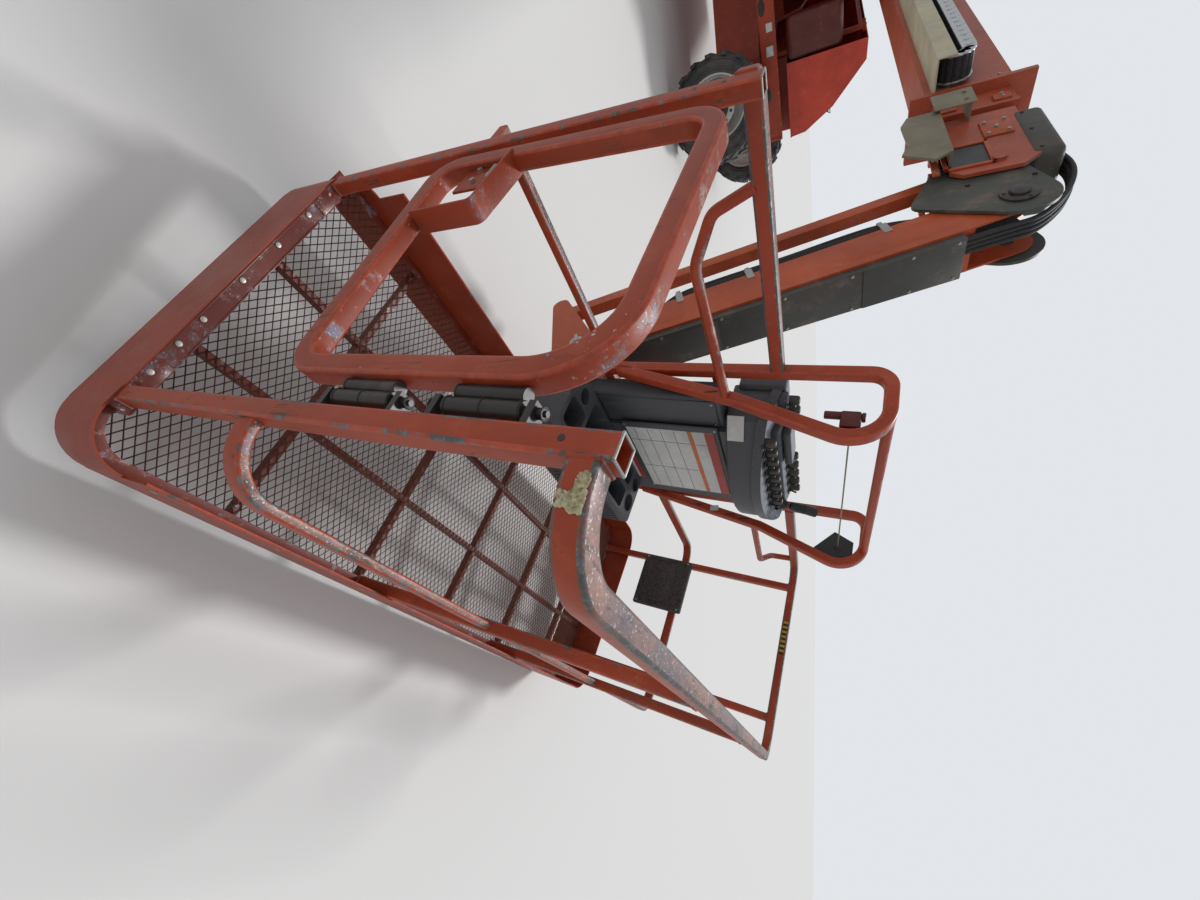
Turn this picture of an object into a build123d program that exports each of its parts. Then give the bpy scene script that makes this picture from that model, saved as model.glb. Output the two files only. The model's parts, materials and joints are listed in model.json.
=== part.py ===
from build123d import *
import math
import os

# Telescopic boom lift, in millimetres. +Z is up and the boom points along -Y, level and drawn in.
# The chassis stands slewed under the boom, and the jib hangs down with its platform near the ground.

# Wheels and chassis, in the chassis' own frame: x along it, the steered axle at -x
SLEW_OF_CHASSIS = -29.9
HALF_WHEELBASE = 1240.0
HALF_TRACK = 1065.0
TYRE_RADIUS = 500.0
TYRE_WIDTH = 355.0
LUG_HEIGHT = 22.0
LUG_COUNT = 18
RIM_RADIUS = 312.0
RIM_WALL = 14.0
WHEEL_DISC_OFFSET = 75.0
WHEEL_DISC_WALL = 20.0
HUB_CAP_RADIUS = 150.0
HUB_CAP_LENGTH = 80.0
FRAME_BOTTOM = 430.0
FRAME_TOP = 900.0
FRAME_WALL = 12.0
FRAME_HALF_WIDTH = 480.0
FRAME_END_HALF_WIDTH = 330.0
AXLE_DEPTH = 180.0
FRAME_HALF_LENGTH = HALF_WHEELBASE - AXLE_DEPTH / 2
FRAME_TAPER = 450.0
AXLE_HEIGHT = 160.0
AXLE_HALF_LENGTH = 700.0
AXLE_WALL = 14.0
KINGPIN_OFFSET = 820.0
KINGPIN_RADIUS = 30.0
YOKE_GAP = 240.0
YOKE_PLATE = 30.0
YOKE_RADIUS = 60.0
DRIVE_RADIUS = 140.0
SPINDLE_RADIUS = 70.0
STEER_ARM = 150.0
TIE_ROD_RADIUS = 15.0
STEER_BARREL_RADIUS = 42.0
STEER_BARREL_HALF = 300.0
TIE_DOWN_Y = 500.0
TIE_DOWN_RISE = 45.0
TIE_DOWN_RADIUS = 22.0
TIE_DOWN_EYE = 42.0
TIE_DOWN_WALL = 20.0
STEER_EAR_Y = 200.0
STEER_DROP = 85.0

# Turntable, on the swing axis at x = 0, y = 0
BEARING_OUTER = 560.0
BEARING_INNER = 430.0
BEARING_HEIGHT = 100.0
DECK_WALL = 30.0
DECK_HALF_WIDTH = 1120.0
DECK_CORNER = 250.0
DECK_FRONT = -1250.0
TAIL_RADIUS = 2430.0
TAIL_FRONT = 1750.0
COUNTERWEIGHT_TOP = 1800.0
UPRIGHT_WALL = 25.0
UPRIGHT_INSIDE = 160.0
HOOD_INSIDE = 400.0
HOOD_WALL = 6.0
HOOD_BOTTOM = 1200.0
HOOD_TOP = 1960.0
HOOD_REAR = 1690.0
HOOD_SHOULDER = 180.0
HOOD_KNEE = 1640.0
HINGE_X = 391.0
HINGE_Z = 1940.0
HINGE_ROD = 8.0
HINGE_KNUCKLE = 15.0
KNUCKLE_Y = (-900.0, 1300.0)
KNUCKLE_HALF = 60.0
HINGE_POST_X = (335.0, 375.0)
HINGE_POST_Y = (-1000.0, 1500.0)
SIDE_TRAY_WALL = 8.0
ENGINE_Y = (-200.0, 500.0)
ENGINE_TOP = 1560.0
TANK_Y = (-500.0, 600.0)
TANK_TOP = 1600.0
TANK_WALL = 6.0

# Boom: each section is a square-cornered tube, level with the others
BOOM_HEIGHT = 2210.0
PIVOT_Y = 1450.0
PIVOT_Z = 2150.0
PIVOT_PIN_RADIUS = 45.0
LIFT_FOOT = (950.0, 1180.0)
LIFT_EYE = (-560.0, 1915.0)
LIFT_PIN_RADIUS = 35.0
LIFT_EYE_HALF = 55.0
LIFT_EYE_RADIUS = 62.0
BARREL_RADIUS = 85.0
ROD_RADIUS = 50.0
# columns: name, width, height, wall, rear end, front end
SECTIONS = (
    ("boom_base", 260.0, 360.0, 8.0, 1250.0, -4570.0),
    ("boom_mid", 222.0, 322.0, 7.0, 600.0, -4750.0),
    ("boom_fly", 184.0, 284.0, 6.0, 500.0, -4930.0),
)
COLLAR_LENGTH = 30.0
COLLAR_REACH = 75.0
SLIDE_GAP = 0.5
NOSE_FRONT = -5420.0
NOSE_HALF_WIDTH = 134.0
NOSE_WALL = 15.0
TRACK_TRAY_WIDTH = 170.0
TRACK_TRAY_Z = (2060.0, 2140.0)
TRACK_TRAY_WALL = 6.0
TRACK_REAR = 500.0
TRACK_WIDTH = 125.0
TRACK_TOP = 2245.0

# Jib: a four-bar linkage of an arm and a link between the head and the platform's support
LEVEL_PIN = (-5340.0, 2200.0)
ARM_TOP = (-5602.0, 2220.0)
LINK_TOP = (-5291.0, 2030.0)
JIB_LENGTH = 1800.0
JIB_HANG = 71.4
ARM_SIZE = 190.0
ARM_WALL = 8.0
ARM_TUBE_START = 190.0
ARM_TUBE_END = 1670.0
ARM_BOSS_RADIUS = 43.0
LINK_X = -38.0
LINK_WIDTH = 56.0
LINK_DEPTH = 60.0
HEAD_INSIDE = 100.0
HEAD_WALL = 12.0
JIB_PIN_RADIUS = 25.0
LINK_PIN_RADIUS = 18.0
JIB_CYLINDER_X = 44.0
JIB_BARREL_RADIUS = 34.0
JIB_ROD_RADIUS = 18.0
JIB_EYE_HALF = 32.0
JIB_FOOT_REACH = 300.0
JIB_FOOT_ANGLE = 29.5
JIB_EYE_ALONG = 950.0
JIB_EYE_OUT = 195.0

# Platform, in its own frame: x along it from the gate end, y across it towards the boom, z from the sill
PLATFORM_LENGTH = 2440.0
PLATFORM_OUTER = -53.0
PLATFORM_INNER = 914.0
PLATFORM_CORNER = (-1050.4, -7494.3, 271.0)
PLATFORM_YAW = 4.7
PLATFORM_LEAN = 1.43
PLATFORM_TILT = 6.69
RAIL_HEIGHT = 1100.0
RAIL = 35.0
TUBE_WALL = 3.0
TOP_RAIL = 38.0
POST_RISE = 12.0
RAIL_BEND = 100.0
LATCH_BEND = 45.0
FAR_BEND = 90.0
STRIP_WIDTH = 44.0
STRIP_WALL = 20.0
OUTER_STRIP_Z = 477.0
BOOM_MID_RAIL_Z = 530.0
MID_RAIL = 25.0
CORNER_RADIUS = 110.0
MESH_TOP = -50.0
MESH_WALL = 5.0
TOE_BOTTOM = -200.0
TOE_TOP = 100.0
TOE_WALL = 5.0
SILL_WIDTH = 45.0
FLOOR_BAR = 18.0
FLOOR_BAR_DEPTH = 30.0
FLOOR_BARS_Y = (265.0, 565.0)
FIRST_CROSS_BAR = 360.0
CROSS_BAR_PITCH = 447.0
GATE_POST_Y = 89.0
LATCH_POST_Y = 825.0
GATE_TUBE = 38.0
GATE_TOP = 1063.0
GATE_HINGE_SIDE = 181.0
# The latch side leans and the lower run drops towards it: (y, z) of its lower corner and y of its upper one
GATE_LATCH_CORNER = (760.0, 440.0)
GATE_LATCH_TOP = 735.0
GATE_LOW = 490.0
GATE_PIN_RADIUS = 7.0
GATE_HINGE_OUT = 22.0
GATE_BARREL_RADIUS = 13.0
# Each hinge's foot and top
GATE_HINGES_Z = ((640.0, 760.0), (856.0, 975.0))
ROTATOR_Y = 1075.0
ROTATOR_RADIUS = 85.0
ROTATOR_BOTTOM = 20.0
ROTATOR_TOP = 330.0
ROTATOR_SHAFT_RADIUS = 35.0
GUARD_X = (800.0, 1660.0)
GUARD_TOP = 1375.0
GUARD_BARS_Z = (515.0, 900.0)
HAND_RAIL_Z = 937.0
HAND_RAIL_RADIUS = 14.0
CONSOLE_X = (980.0, 1460.0)
CONSOLE_FOOT = 290.0
CONSOLE_DEPTH = 90.0
BOX_X = (930.0, 1520.0)
BOX_Z = (930.0, 1150.0)
TRAY_X = (680.0, 1400.0)
TRAY_FRONT = 570.0
TRAY_Z = (300.0, 500.0)
TRAY_ROUND = 28.0
PAD_Y = (380.0, 790.0)
PAD_Z = (250.0, 530.0)

# Clearances
RUN_GAP = 0.4
PLAIN_GAP = 6.0


# Helpers
def block(x0, x1, y0, y1, z0, z1):
    """A box between two corners."""
    return Pos((x0 + x1) / 2, (y0 + y1) / 2, (z0 + z1) / 2) * Box(abs(x1 - x0), abs(y1 - y0), abs(z1 - z0))


def rod(start, end, radius):
    """A round bar between two points."""
    run = Vector(*end) - Vector(*start)
    return extrude(Plane(origin=start, z_dir=run) * Circle(radius), amount=run.length)


def side_plate(points, x0, x1):
    """A plate of an outline in (y, z), from x0 to x1."""
    return extrude(Plane.YZ.offset(x0) * make_face(Polyline(*points, close=True)), amount=x1 - x0)


def flat_plate(points, z0, z1):
    """A plate of an outline in (x, y), from z0 to z1."""
    return extrude(Plane.XY.offset(z0) * make_face(Polyline(*points, close=True)), amount=z1 - z0)


def pin_plate(circles, x0, x1):
    """A plate in (y, z) drawn tight round circles of (y, z, radius)."""
    rings = [Pos(y, z) * Circle(r) for y, z, r in circles]
    edges = [edge for ring in rings for edge in ring.edges()]
    return extrude(Plane.YZ.offset(x0) * make_hull(edges), amount=x1 - x0)


def cross_pin(y, z, radius, half):
    """A pin or a bore along x at (y, z)."""
    return rod((-half, y, z), (half, y, z), radius)


def box_tube(width, height, wall, y0, y1, z):
    """A square tube along y with open ends."""
    outside = block(-width / 2, width / 2, y0, y1, z - height / 2, z + height / 2)
    w, h = width / 2 - wall, height / 2 - wall
    return outside - block(-w, w, y0 - 1, y1 + 1, z - h, z + h)


def bent_tube(size, path, depth=None):
    """A solid rail of square section along a path in a level plane."""
    section = Plane(path @ 0, z_dir=path % 0, x_dir=(0, 0, 1)) * Rectangle(depth or size, size)
    return sweep(section, path=path)


def round_tube(points, radii, radius):
    """A round bar along a path of points, with a bend radius at each corner."""
    path = FilletPolyline(*points, radius=radii)
    return sweep(Plane(path @ 0, z_dir=path % 0) * Circle(radius), path=path)


def square_tube(points, radii, width, depth):
    """A flat or square bar along a path of points in one upright plane across x."""
    path = FilletPolyline(*points, radius=radii)
    return sweep(Plane(path @ 0, z_dir=path % 0, x_dir=(1, 0, 0)) * Rectangle(width, depth), path=path)


def level_path(points, radii, z):
    """A level line through points, rounded at its corners."""
    return FilletPolyline(*[(x, y, z) for x, y in points], radius=radii)


def along_jib(top, along, out):
    """The (y, z) of a point so far down the jib from its top pin, and so far out towards the turntable."""
    a = math.radians(JIB_HANG)
    down = (-math.cos(a), -math.sin(a))
    side = (math.sin(a), -math.cos(a))
    return (top[0] + along * down[0] + out * side[0], top[1] + along * down[1] + out * side[1])


nodes = {}
chassis_place = Rot(0, 0, SLEW_OF_CHASSIS)
platform_turn = Rot(0, 0, PLATFORM_YAW) * Rot(0, PLATFORM_LEAN, 0) * Rot(PLATFORM_TILT, 0, 0)
platform_place = Pos(*PLATFORM_CORNER) * platform_turn


# Chassis
def frame_outline(inset):
    """The chassis frame's plan, drawn in by inset."""
    length = FRAME_HALF_LENGTH - inset
    wide = FRAME_HALF_WIDTH - inset
    end = FRAME_END_HALF_WIDTH - inset
    shoulder = FRAME_HALF_LENGTH - FRAME_TAPER
    quarter = [(length, end), (shoulder, wide)]
    right = quarter + [(-x, y) for x, y in reversed(quarter)]
    return right + [(x, -y) for x, y in reversed(right)]


def make_chassis_frame():
    shell = flat_plate(frame_outline(0), FRAME_BOTTOM, FRAME_TOP)
    shell -= flat_plate(frame_outline(FRAME_WALL), FRAME_BOTTOM + FRAME_WALL, FRAME_TOP - FRAME_WALL)
    return shell


def make_axle_beam(x):
    beam = block(x - AXLE_DEPTH / 2, x + AXLE_DEPTH / 2, -AXLE_HALF_LENGTH, AXLE_HALF_LENGTH,
                 TYRE_RADIUS - AXLE_HEIGHT / 2, TYRE_RADIUS + AXLE_HEIGHT / 2)
    w = AXLE_DEPTH / 2 - AXLE_WALL
    h = AXLE_HEIGHT / 2 - AXLE_WALL
    return beam - block(x - w, x + w, -AXLE_HALF_LENGTH + AXLE_WALL, AXLE_HALF_LENGTH - AXLE_WALL,
                        TYRE_RADIUS - h, TYRE_RADIUS + h)


def tie_down(x, y):
    """A lashing eye that stands up from an axle's outer edge, with its hole along the chassis."""
    face = x + (AXLE_DEPTH / 2 if x > 0 else -AXLE_DEPTH / 2)
    inner = face - (TIE_DOWN_WALL if x > 0 else -TIE_DOWN_WALL)
    z = TYRE_RADIUS + AXLE_HEIGHT / 2 + TIE_DOWN_RISE
    lug = block(inner, face, y - TIE_DOWN_EYE, y + TIE_DOWN_EYE, z - TIE_DOWN_RISE - 1, z)
    lug += rod((inner, y, z), (face, y, z), TIE_DOWN_EYE)
    return lug - Pos((inner + face) / 2, y, z) * Rot(0, 90, 0) * Cylinder(TIE_DOWN_RADIUS, TIE_DOWN_WALL + 2)


def make_drive(x, side, inner):
    """A drive housing and its spindle, out to the wheel's disc."""
    disc = side * (HALF_TRACK - WHEEL_DISC_OFFSET)
    housing = rod((x, side * inner, TYRE_RADIUS), (x, disc - side * RUN_GAP, TYRE_RADIUS), DRIVE_RADIUS)
    tip = disc + side * (WHEEL_DISC_WALL - RUN_GAP)
    return housing + rod((x, disc - side * RUN_GAP, TYRE_RADIUS), (x, tip, TYRE_RADIUS), SPINDLE_RADIUS)


nodes["chassis_frame"] = chassis_place * make_chassis_frame()
rear_axle = make_axle_beam(HALF_WHEELBASE)
for side in (-1, 1):
    rear_axle += make_drive(HALF_WHEELBASE, side, AXLE_HALF_LENGTH)
for y in (-TIE_DOWN_Y, TIE_DOWN_Y):
    rear_axle += tie_down(HALF_WHEELBASE, y)
nodes["axle_rear"] = chassis_place * rear_axle

front_axle = make_axle_beam(-HALF_WHEELBASE)
yoke_x = (-HALF_WHEELBASE - YOKE_RADIUS, -HALF_WHEELBASE + YOKE_RADIUS)
for side in (-1, 1):
    pin_y = side * KINGPIN_OFFSET
    for up in (-1, 1):
        low = TYRE_RADIUS + up * YOKE_GAP / 2
        high = TYRE_RADIUS + up * (YOKE_GAP / 2 + YOKE_PLATE)
        root = side * (AXLE_HALF_LENGTH - 60)
        plate_mid = Pos(-HALF_WHEELBASE, pin_y, (low + high) / 2)
        plate = block(*yoke_x, root, pin_y, low, high) + plate_mid * Cylinder(YOKE_RADIUS, YOKE_PLATE)
        web = block(*yoke_x, root, side * AXLE_HALF_LENGTH, TYRE_RADIUS + up * (AXLE_HEIGHT / 2 - 1), high)
        bore = plate_mid * Cylinder(KINGPIN_RADIUS + RUN_GAP, 2 * YOKE_PLATE)
        front_axle += plate + web
        front_axle -= bore
steer_x = -HALF_WHEELBASE - STEER_ARM
steer_z = TYRE_RADIUS - STEER_DROP
for y in (-STEER_EAR_Y, STEER_EAR_Y):
    ear = block(steer_x, -HALF_WHEELBASE - AXLE_DEPTH / 2 + 1, y - 15, y + 15, steer_z - 20, steer_z + 20)
    front_axle += ear - rod((steer_x, y - 20, steer_z), (steer_x, y + 20, steer_z), STEER_BARREL_RADIUS)
for y in (-TIE_DOWN_Y, TIE_DOWN_Y):
    front_axle += tie_down(-HALF_WHEELBASE, y)
nodes["axle_front"] = chassis_place * front_axle


def steer_rod(half, radius):
    """A round bar along the steering line, behind the front axle."""
    return rod((steer_x, -half, steer_z), (steer_x, half, steer_z), radius)


barrel = steer_rod(STEER_BARREL_HALF, STEER_BARREL_RADIUS)
barrel -= steer_rod(STEER_BARREL_HALF + 1, TIE_ROD_RADIUS + RUN_GAP)
nodes["steer_cylinder"] = chassis_place * barrel
nodes["tie_rod"] = chassis_place * steer_rod(KINGPIN_OFFSET, TIE_ROD_RADIUS)

bearing = Cylinder(BEARING_OUTER, BEARING_HEIGHT) - Cylinder(BEARING_INNER, BEARING_HEIGHT)
nodes["swing_bearing"] = Pos(0, 0, FRAME_TOP + BEARING_HEIGHT / 2) * bearing


# Wheels
def make_tyre():
    """A tyre about the y axis, with two rows of slanted lugs."""
    half = TYRE_WIDTH / 2
    crown = TYRE_RADIUS - LUG_HEIGHT
    outline = [(RIM_RADIUS, -half + 25), (RIM_RADIUS + 60, -half), (crown - 70, -half), (crown, -half + 45),
               (crown, half - 45), (crown - 70, half), (RIM_RADIUS + 60, half), (RIM_RADIUS, half - 25)]
    carcass = revolve(Plane.XY * make_face(Polyline(*outline, close=True)), axis=Axis.Y)
    lug = block(crown - 60, TYRE_RADIUS, -95, 95, -26, 26)
    lug_ends = [(crown - 20, -half), (TYRE_RADIUS - 12, -half), (TYRE_RADIUS, -half + 25),
                (TYRE_RADIUS, half - 25), (TYRE_RADIUS - 12, half), (crown - 20, half)]
    ring = revolve(Plane.XY * make_face(Polyline(*lug_ends, close=True)), axis=Axis.Y)
    lugs = []
    for side in (-1, 1):
        for k in range(LUG_COUNT):
            turn = 360.0 * (k + (0.5 if side > 0 else 0.0)) / LUG_COUNT
            lugs.append(Rot(0, turn, 0) * Pos(0, side * 88, 0) * Rot(side * 32, 0, 0) * lug)
    lugs = [piece & ring for piece in lugs]
    return carcass + lugs


def make_rim(side):
    """A rim with its dished disc and hub cap about the y axis, its disc on the outer side."""
    half = TYRE_WIDTH / 2 - 25
    bore = RIM_RADIUS - RIM_WALL
    barrel = rod((0, -half, 0), (0, half, 0), RIM_RADIUS) - rod((0, -half - 1, 0), (0, half + 1, 0), bore)
    disc = side * -WHEEL_DISC_OFFSET
    outer = disc + side * WHEEL_DISC_WALL
    plate = rod((0, disc, 0), (0, outer, 0), bore + 1)
    plate -= rod((0, disc - side, 0), (0, outer + side, 0), SPINDLE_RADIUS + RUN_GAP)
    cap = rod((0, outer, 0), (0, outer + side * HUB_CAP_LENGTH, 0), HUB_CAP_RADIUS)
    return barrel + plate + cap


tyre = make_tyre()
# columns: name, x along the chassis, side
WHEELS = (("front_left", -1, -1), ("front_right", -1, 1), ("rear_left", 1, -1), ("rear_right", 1, 1))
for name, end, side in WHEELS:
    place = chassis_place * Pos(end * HALF_WHEELBASE, side * HALF_TRACK, TYRE_RADIUS)
    nodes["tyre_" + name] = place * tyre
    nodes["rim_" + name] = place * make_rim(side)

for name, side in (("left", -1), ("right", 1)):
    kingpin = side * KINGPIN_OFFSET
    x = -HALF_WHEELBASE
    knuckle = Pos(x, kingpin, TYRE_RADIUS) * Cylinder(YOKE_RADIUS - 5, YOKE_GAP - 2 * RUN_GAP)
    knuckle += Pos(x, kingpin, TYRE_RADIUS) * Cylinder(KINGPIN_RADIUS, YOKE_GAP + 2 * YOKE_PLATE)
    knuckle += block(x - 60, x + 60, kingpin, kingpin + side * 71, TYRE_RADIUS - 90, TYRE_RADIUS + 90)
    knuckle += make_drive(x, side, KINGPIN_OFFSET + 70)
    arm_top = steer_z + TIE_ROD_RADIUS + PLAIN_GAP
    knuckle += block(x - STEER_ARM - 25, x, kingpin - 22, kingpin + 22, arm_top, arm_top + 20)
    nodes["knuckle_" + name] = chassis_place * knuckle

# Turntable
deck_bottom = FRAME_TOP + BEARING_HEIGHT + RUN_GAP
deck_top = deck_bottom + DECK_WALL


def tail_outline(front, half):
    """The counterweight's plan: straight sides and a round tail about the swing axis."""
    corner = math.sqrt(TAIL_RADIUS ** 2 - half ** 2)
    return Line((-half, front), (half, front)) + Line((half, front), (half, corner)) + ThreePointArc(
        (half, corner), (0, TAIL_RADIUS), (-half, corner)) + Line((-half, corner), (-half, front))


wide = DECK_HALF_WIDTH
deck_outline = [(-wide, TAIL_FRONT), (-wide, DECK_FRONT + DECK_CORNER), (DECK_CORNER - wide, DECK_FRONT),
                (wide - DECK_CORNER, DECK_FRONT), (wide, DECK_FRONT + DECK_CORNER), (wide, TAIL_FRONT)]
nodes["turntable_deck"] = flat_plate(deck_outline, deck_bottom, deck_top)
weight_face = make_face(tail_outline(TAIL_FRONT, DECK_HALF_WIDTH))
weight = extrude(Plane.XY.offset(deck_bottom) * weight_face, amount=COUNTERWEIGHT_TOP - deck_bottom)
upright_outside = UPRIGHT_INSIDE + UPRIGHT_WALL
weight -= block(-upright_outside, upright_outside, TAIL_FRONT - 1, TAIL_FRONT + 160, deck_top,
                COUNTERWEIGHT_TOP + 1)
nodes["counterweight"] = weight

upright_outline = [(-500, deck_top), (-300, 1330), (700, 1500), (1270, 2160), (1300, 2290), (1440, 2330),
                   (1600, 2270), (TAIL_FRONT - 20, 1700), (TAIL_FRONT - 1, deck_top)]
uprights = []
for side in (-1, 1):
    uprights.append(side_plate(upright_outline, *sorted((side * UPRIGHT_INSIDE, side * upright_outside))))
foot_half = upright_outside + 20
turn_frame = uprights[0] + uprights[1]
turn_frame += block(-UPRIGHT_INSIDE - 1, UPRIGHT_INSIDE + 1, -480, -455, deck_top, deck_top + 130)
turn_frame += block(-UPRIGHT_INSIDE - 1, UPRIGHT_INSIDE + 1, TAIL_FRONT - 45, TAIL_FRONT - 20, deck_top, 1600)
turn_frame += cross_pin(PIVOT_Y, PIVOT_Z, PIVOT_PIN_RADIUS, foot_half)
turn_frame += cross_pin(*LIFT_FOOT, LIFT_PIN_RADIUS, foot_half)
nodes["turntable_uprights"] = turn_frame



def hinge_bar(side, y, half, radius):
    """A round bar on a hood's hinge line, about y."""
    return rod((side * HINGE_X, y - half, HINGE_Z), (side * HINGE_X, y + half, HINGE_Z), radius)


# Posts and a bar beside each hood, carrying the rod that the hood turns on
hinge_frames = []
for side in (-1, 1):
    x0, x1 = sorted((side * HINGE_POST_X[0], side * HINGE_POST_X[1]))
    post_width = x1 - x0
    bar_top = HINGE_Z - 20
    hinge_frame = block(x0, x1, *HINGE_POST_Y, bar_top - post_width, bar_top)
    for y in (HINGE_POST_Y[0], HINGE_POST_Y[1] - post_width):
        hinge_frame += block(x0, x1, y, y + post_width, deck_top, bar_top - post_width + 1)
    for y in KNUCKLE_Y:
        for end in (-1, 1):
            tab_y = y + end * (KNUCKLE_HALF + 10)
            hinge_frame += block(side * HINGE_POST_X[0], side * (HINGE_X + 12), tab_y - 6, tab_y + 6,
                                 bar_top - 5, HINGE_Z + 12)
        hinge_frame += hinge_bar(side, y, KNUCKLE_HALF + 20, HINGE_ROD)
    hinge_frames.append(hinge_frame)
nodes["hood_hinges"] = Compound(children=hinge_frames)


def hood_outline(side, inset):
    """A hood's cross-section in (x, z): a flat top by the boom and a long slope outwards."""
    inside = HOOD_INSIDE
    outside = DECK_HALF_WIDTH - inset
    points = [(inside, HOOD_BOTTOM), (inside, HOOD_TOP - inset),
              (inside + HOOD_SHOULDER, HOOD_TOP - 10 - inset), (outside - 200, HOOD_KNEE - inset / 2),
              (outside - 20, HOOD_BOTTOM + 160), (outside, HOOD_BOTTOM)]
    return [(side * x, z) for x, z in points]


def extrude_along_y(points, y0, y1):
    """A solid of an outline in (x, z), from y0 to y1."""
    face = Plane.XZ * make_face(Polyline(*points, close=True))
    return Pos(0, y1, 0) * extrude(face, amount=y1 - y0)


trays = []
hood_front = DECK_FRONT + 30
tray_front = DECK_FRONT + 280
for name, side in (("left", -1), ("right", 1)):
    hood = extrude_along_y(hood_outline(side, 0), hood_front, HOOD_REAR)
    cavity = extrude_along_y(hood_outline(side, HOOD_WALL), hood_front + HOOD_WALL, HOOD_REAR - HOOD_WALL)
    hood -= Pos(0, 0, -1) * cavity
    hood -= block(side * (HOOD_INSIDE - 1), side * (HOOD_INSIDE + 2), hood_front + HOOD_WALL,
                  HOOD_REAR - HOOD_WALL, HOOD_BOTTOM - 1, HOOD_TOP - 60)
    for y in KNUCKLE_Y:
        behind = block(side * (HOOD_INSIDE + HOOD_WALL), side * (HOOD_INSIDE + 50), y - 70, y + 70,
                       HINGE_Z - 40, HINGE_Z + 20)
        hood += hinge_bar(side, y, KNUCKLE_HALF, HINGE_KNUCKLE) - behind
        hood -= hinge_bar(side, y, KNUCKLE_HALF + 1, HINGE_ROD + RUN_GAP)
        for end in (-1, 1):
            tab_y = y + end * (KNUCKLE_HALF + 10)
            hood -= block(side * (HOOD_INSIDE - 1), side * (HINGE_X + 18), tab_y - 12, tab_y + 12,
                          HINGE_Z - 50, HINGE_Z + 18)
    nodes["hood_" + name] = hood
    wall = SIDE_TRAY_WALL
    tray = block(side * HOOD_INSIDE, side * DECK_HALF_WIDTH, tray_front, HOOD_REAR, deck_top,
                 HOOD_BOTTOM - PLAIN_GAP)
    tray -= block(side * (HOOD_INSIDE + wall), side * (DECK_HALF_WIDTH - wall), tray_front + wall,
                  HOOD_REAR - wall, deck_top + wall, HOOD_BOTTOM)
    trays.append(tray)
nodes["side_trays"] = Compound(children=trays)
floor_top = deck_top + SIDE_TRAY_WALL
bay = (HOOD_INSIDE + 80, DECK_HALF_WIDTH - 240)
nodes["engine"] = block(*bay, *ENGINE_Y, floor_top, ENGINE_TOP)
tank = block(-bay[1], -bay[0], *TANK_Y, floor_top, TANK_TOP)
wall = TANK_WALL
tank -= block(wall - bay[1], -bay[0] - wall, TANK_Y[0] + wall, TANK_Y[1] - wall, floor_top + wall,
              TANK_TOP - wall)
nodes["oil_tank"] = tank
nodes["ground_controls"] = block(-300, -215, -350, 50, deck_top, 1500)

# Boom
for index, (name, width, height, wall, rear, front) in enumerate(SECTIONS):
    tube = box_tube(width, height, wall, front, rear, BOOM_HEIGHT)
    if index < 2:
        inner = SECTIONS[index + 1]
        w = width / 2 + (COLLAR_REACH - 45 if index == 0 else 4)
        h = height / 2 + (COLLAR_REACH if index == 0 else 4)
        collar = block(-w, w, front, front - COLLAR_LENGTH, BOOM_HEIGHT - h, BOOM_HEIGHT + h)
        iw = inner[1] / 2 + SLIDE_GAP
        ih = inner[2] / 2 + SLIDE_GAP
        collar -= block(-iw, iw, front - COLLAR_LENGTH - 1, front + 1, BOOM_HEIGHT - ih, BOOM_HEIGHT + ih)
        tube += collar
    nodes[name] = tube

base_half = SECTIONS[0][1] / 2
base_low = BOOM_HEIGHT - SECTIONS[0][2] / 2
rear_end = SECTIONS[0][4]
# Rear lugs of the base section, round the pivot pin
lug_root = rear_end - 250
lug_discs = [(PIVOT_Y, PIVOT_Z, 110), (lug_root, BOOM_HEIGHT + 120, 55), (lug_root, BOOM_HEIGHT - 120, 55)]
for side in (-1, 1):
    nodes["boom_base"] += pin_plate(lug_discs, *sorted((side * base_half, side * (base_half + 20))))
sleeve = cross_pin(PIVOT_Y, PIVOT_Z, PIVOT_PIN_RADIUS + 25, base_half + 20)
nodes["boom_base"] += sleeve
nodes["boom_base"] -= cross_pin(PIVOT_Y, PIVOT_Z, PIVOT_PIN_RADIUS + RUN_GAP, base_half + 30)
# Ears under the base section for the lift cylinder's rod
eye_half = LIFT_EYE_HALF
ear_discs = [(*LIFT_EYE, 70), (LIFT_EYE[0] - 160, base_low + 8, 6), (LIFT_EYE[0] + 160, base_low + 8, 6)]
for side in (-1, 1):
    x0 = side * (eye_half + PLAIN_GAP)
    ear = pin_plate(ear_discs, *sorted((x0, x0 + side * 20)))
    nodes["boom_base"] += ear + rod((x0, *LIFT_EYE), (x0 + side * 32, *LIFT_EYE), LIFT_PIN_RADIUS)

# Nose of the fly section: a fork open to the front and below
fly_front = SECTIONS[2][5]
nose_rear = fly_front + 40
nose_top = BOOM_HEIGHT + 120
nose_low = BOOM_HEIGHT - 180
nose_outline = [(nose_rear, nose_top), (NOSE_FRONT + 60, nose_top), (NOSE_FRONT, nose_top - 60),
                (NOSE_FRONT, nose_low + 40), (NOSE_FRONT + 40, nose_low), (nose_rear, nose_low)]
nose = side_plate(nose_outline, -NOSE_HALF_WIDTH, -NOSE_HALF_WIDTH + NOSE_WALL)
nose += side_plate(nose_outline, NOSE_HALF_WIDTH - NOSE_WALL, NOSE_HALF_WIDTH)
inside = NOSE_HALF_WIDTH - 1
nose += block(-inside, inside, nose_rear - 150, nose_rear, nose_top - NOSE_WALL, nose_top)
nose += block(-inside, inside, fly_front - NOSE_WALL, fly_front, BOOM_HEIGHT - 80, nose_top)
for side in (-1, 1):
    nose += block(side * 91, side * inside, fly_front - NOSE_WALL, nose_rear, nose_low, BOOM_HEIGHT - 79)
throat = block(-inside, inside, fly_front - 1, fly_front + 65, nose_low, BOOM_HEIGHT - 100)
nose += cross_pin(*LEVEL_PIN, JIB_PIN_RADIUS, NOSE_HALF_WIDTH + 12)
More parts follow.
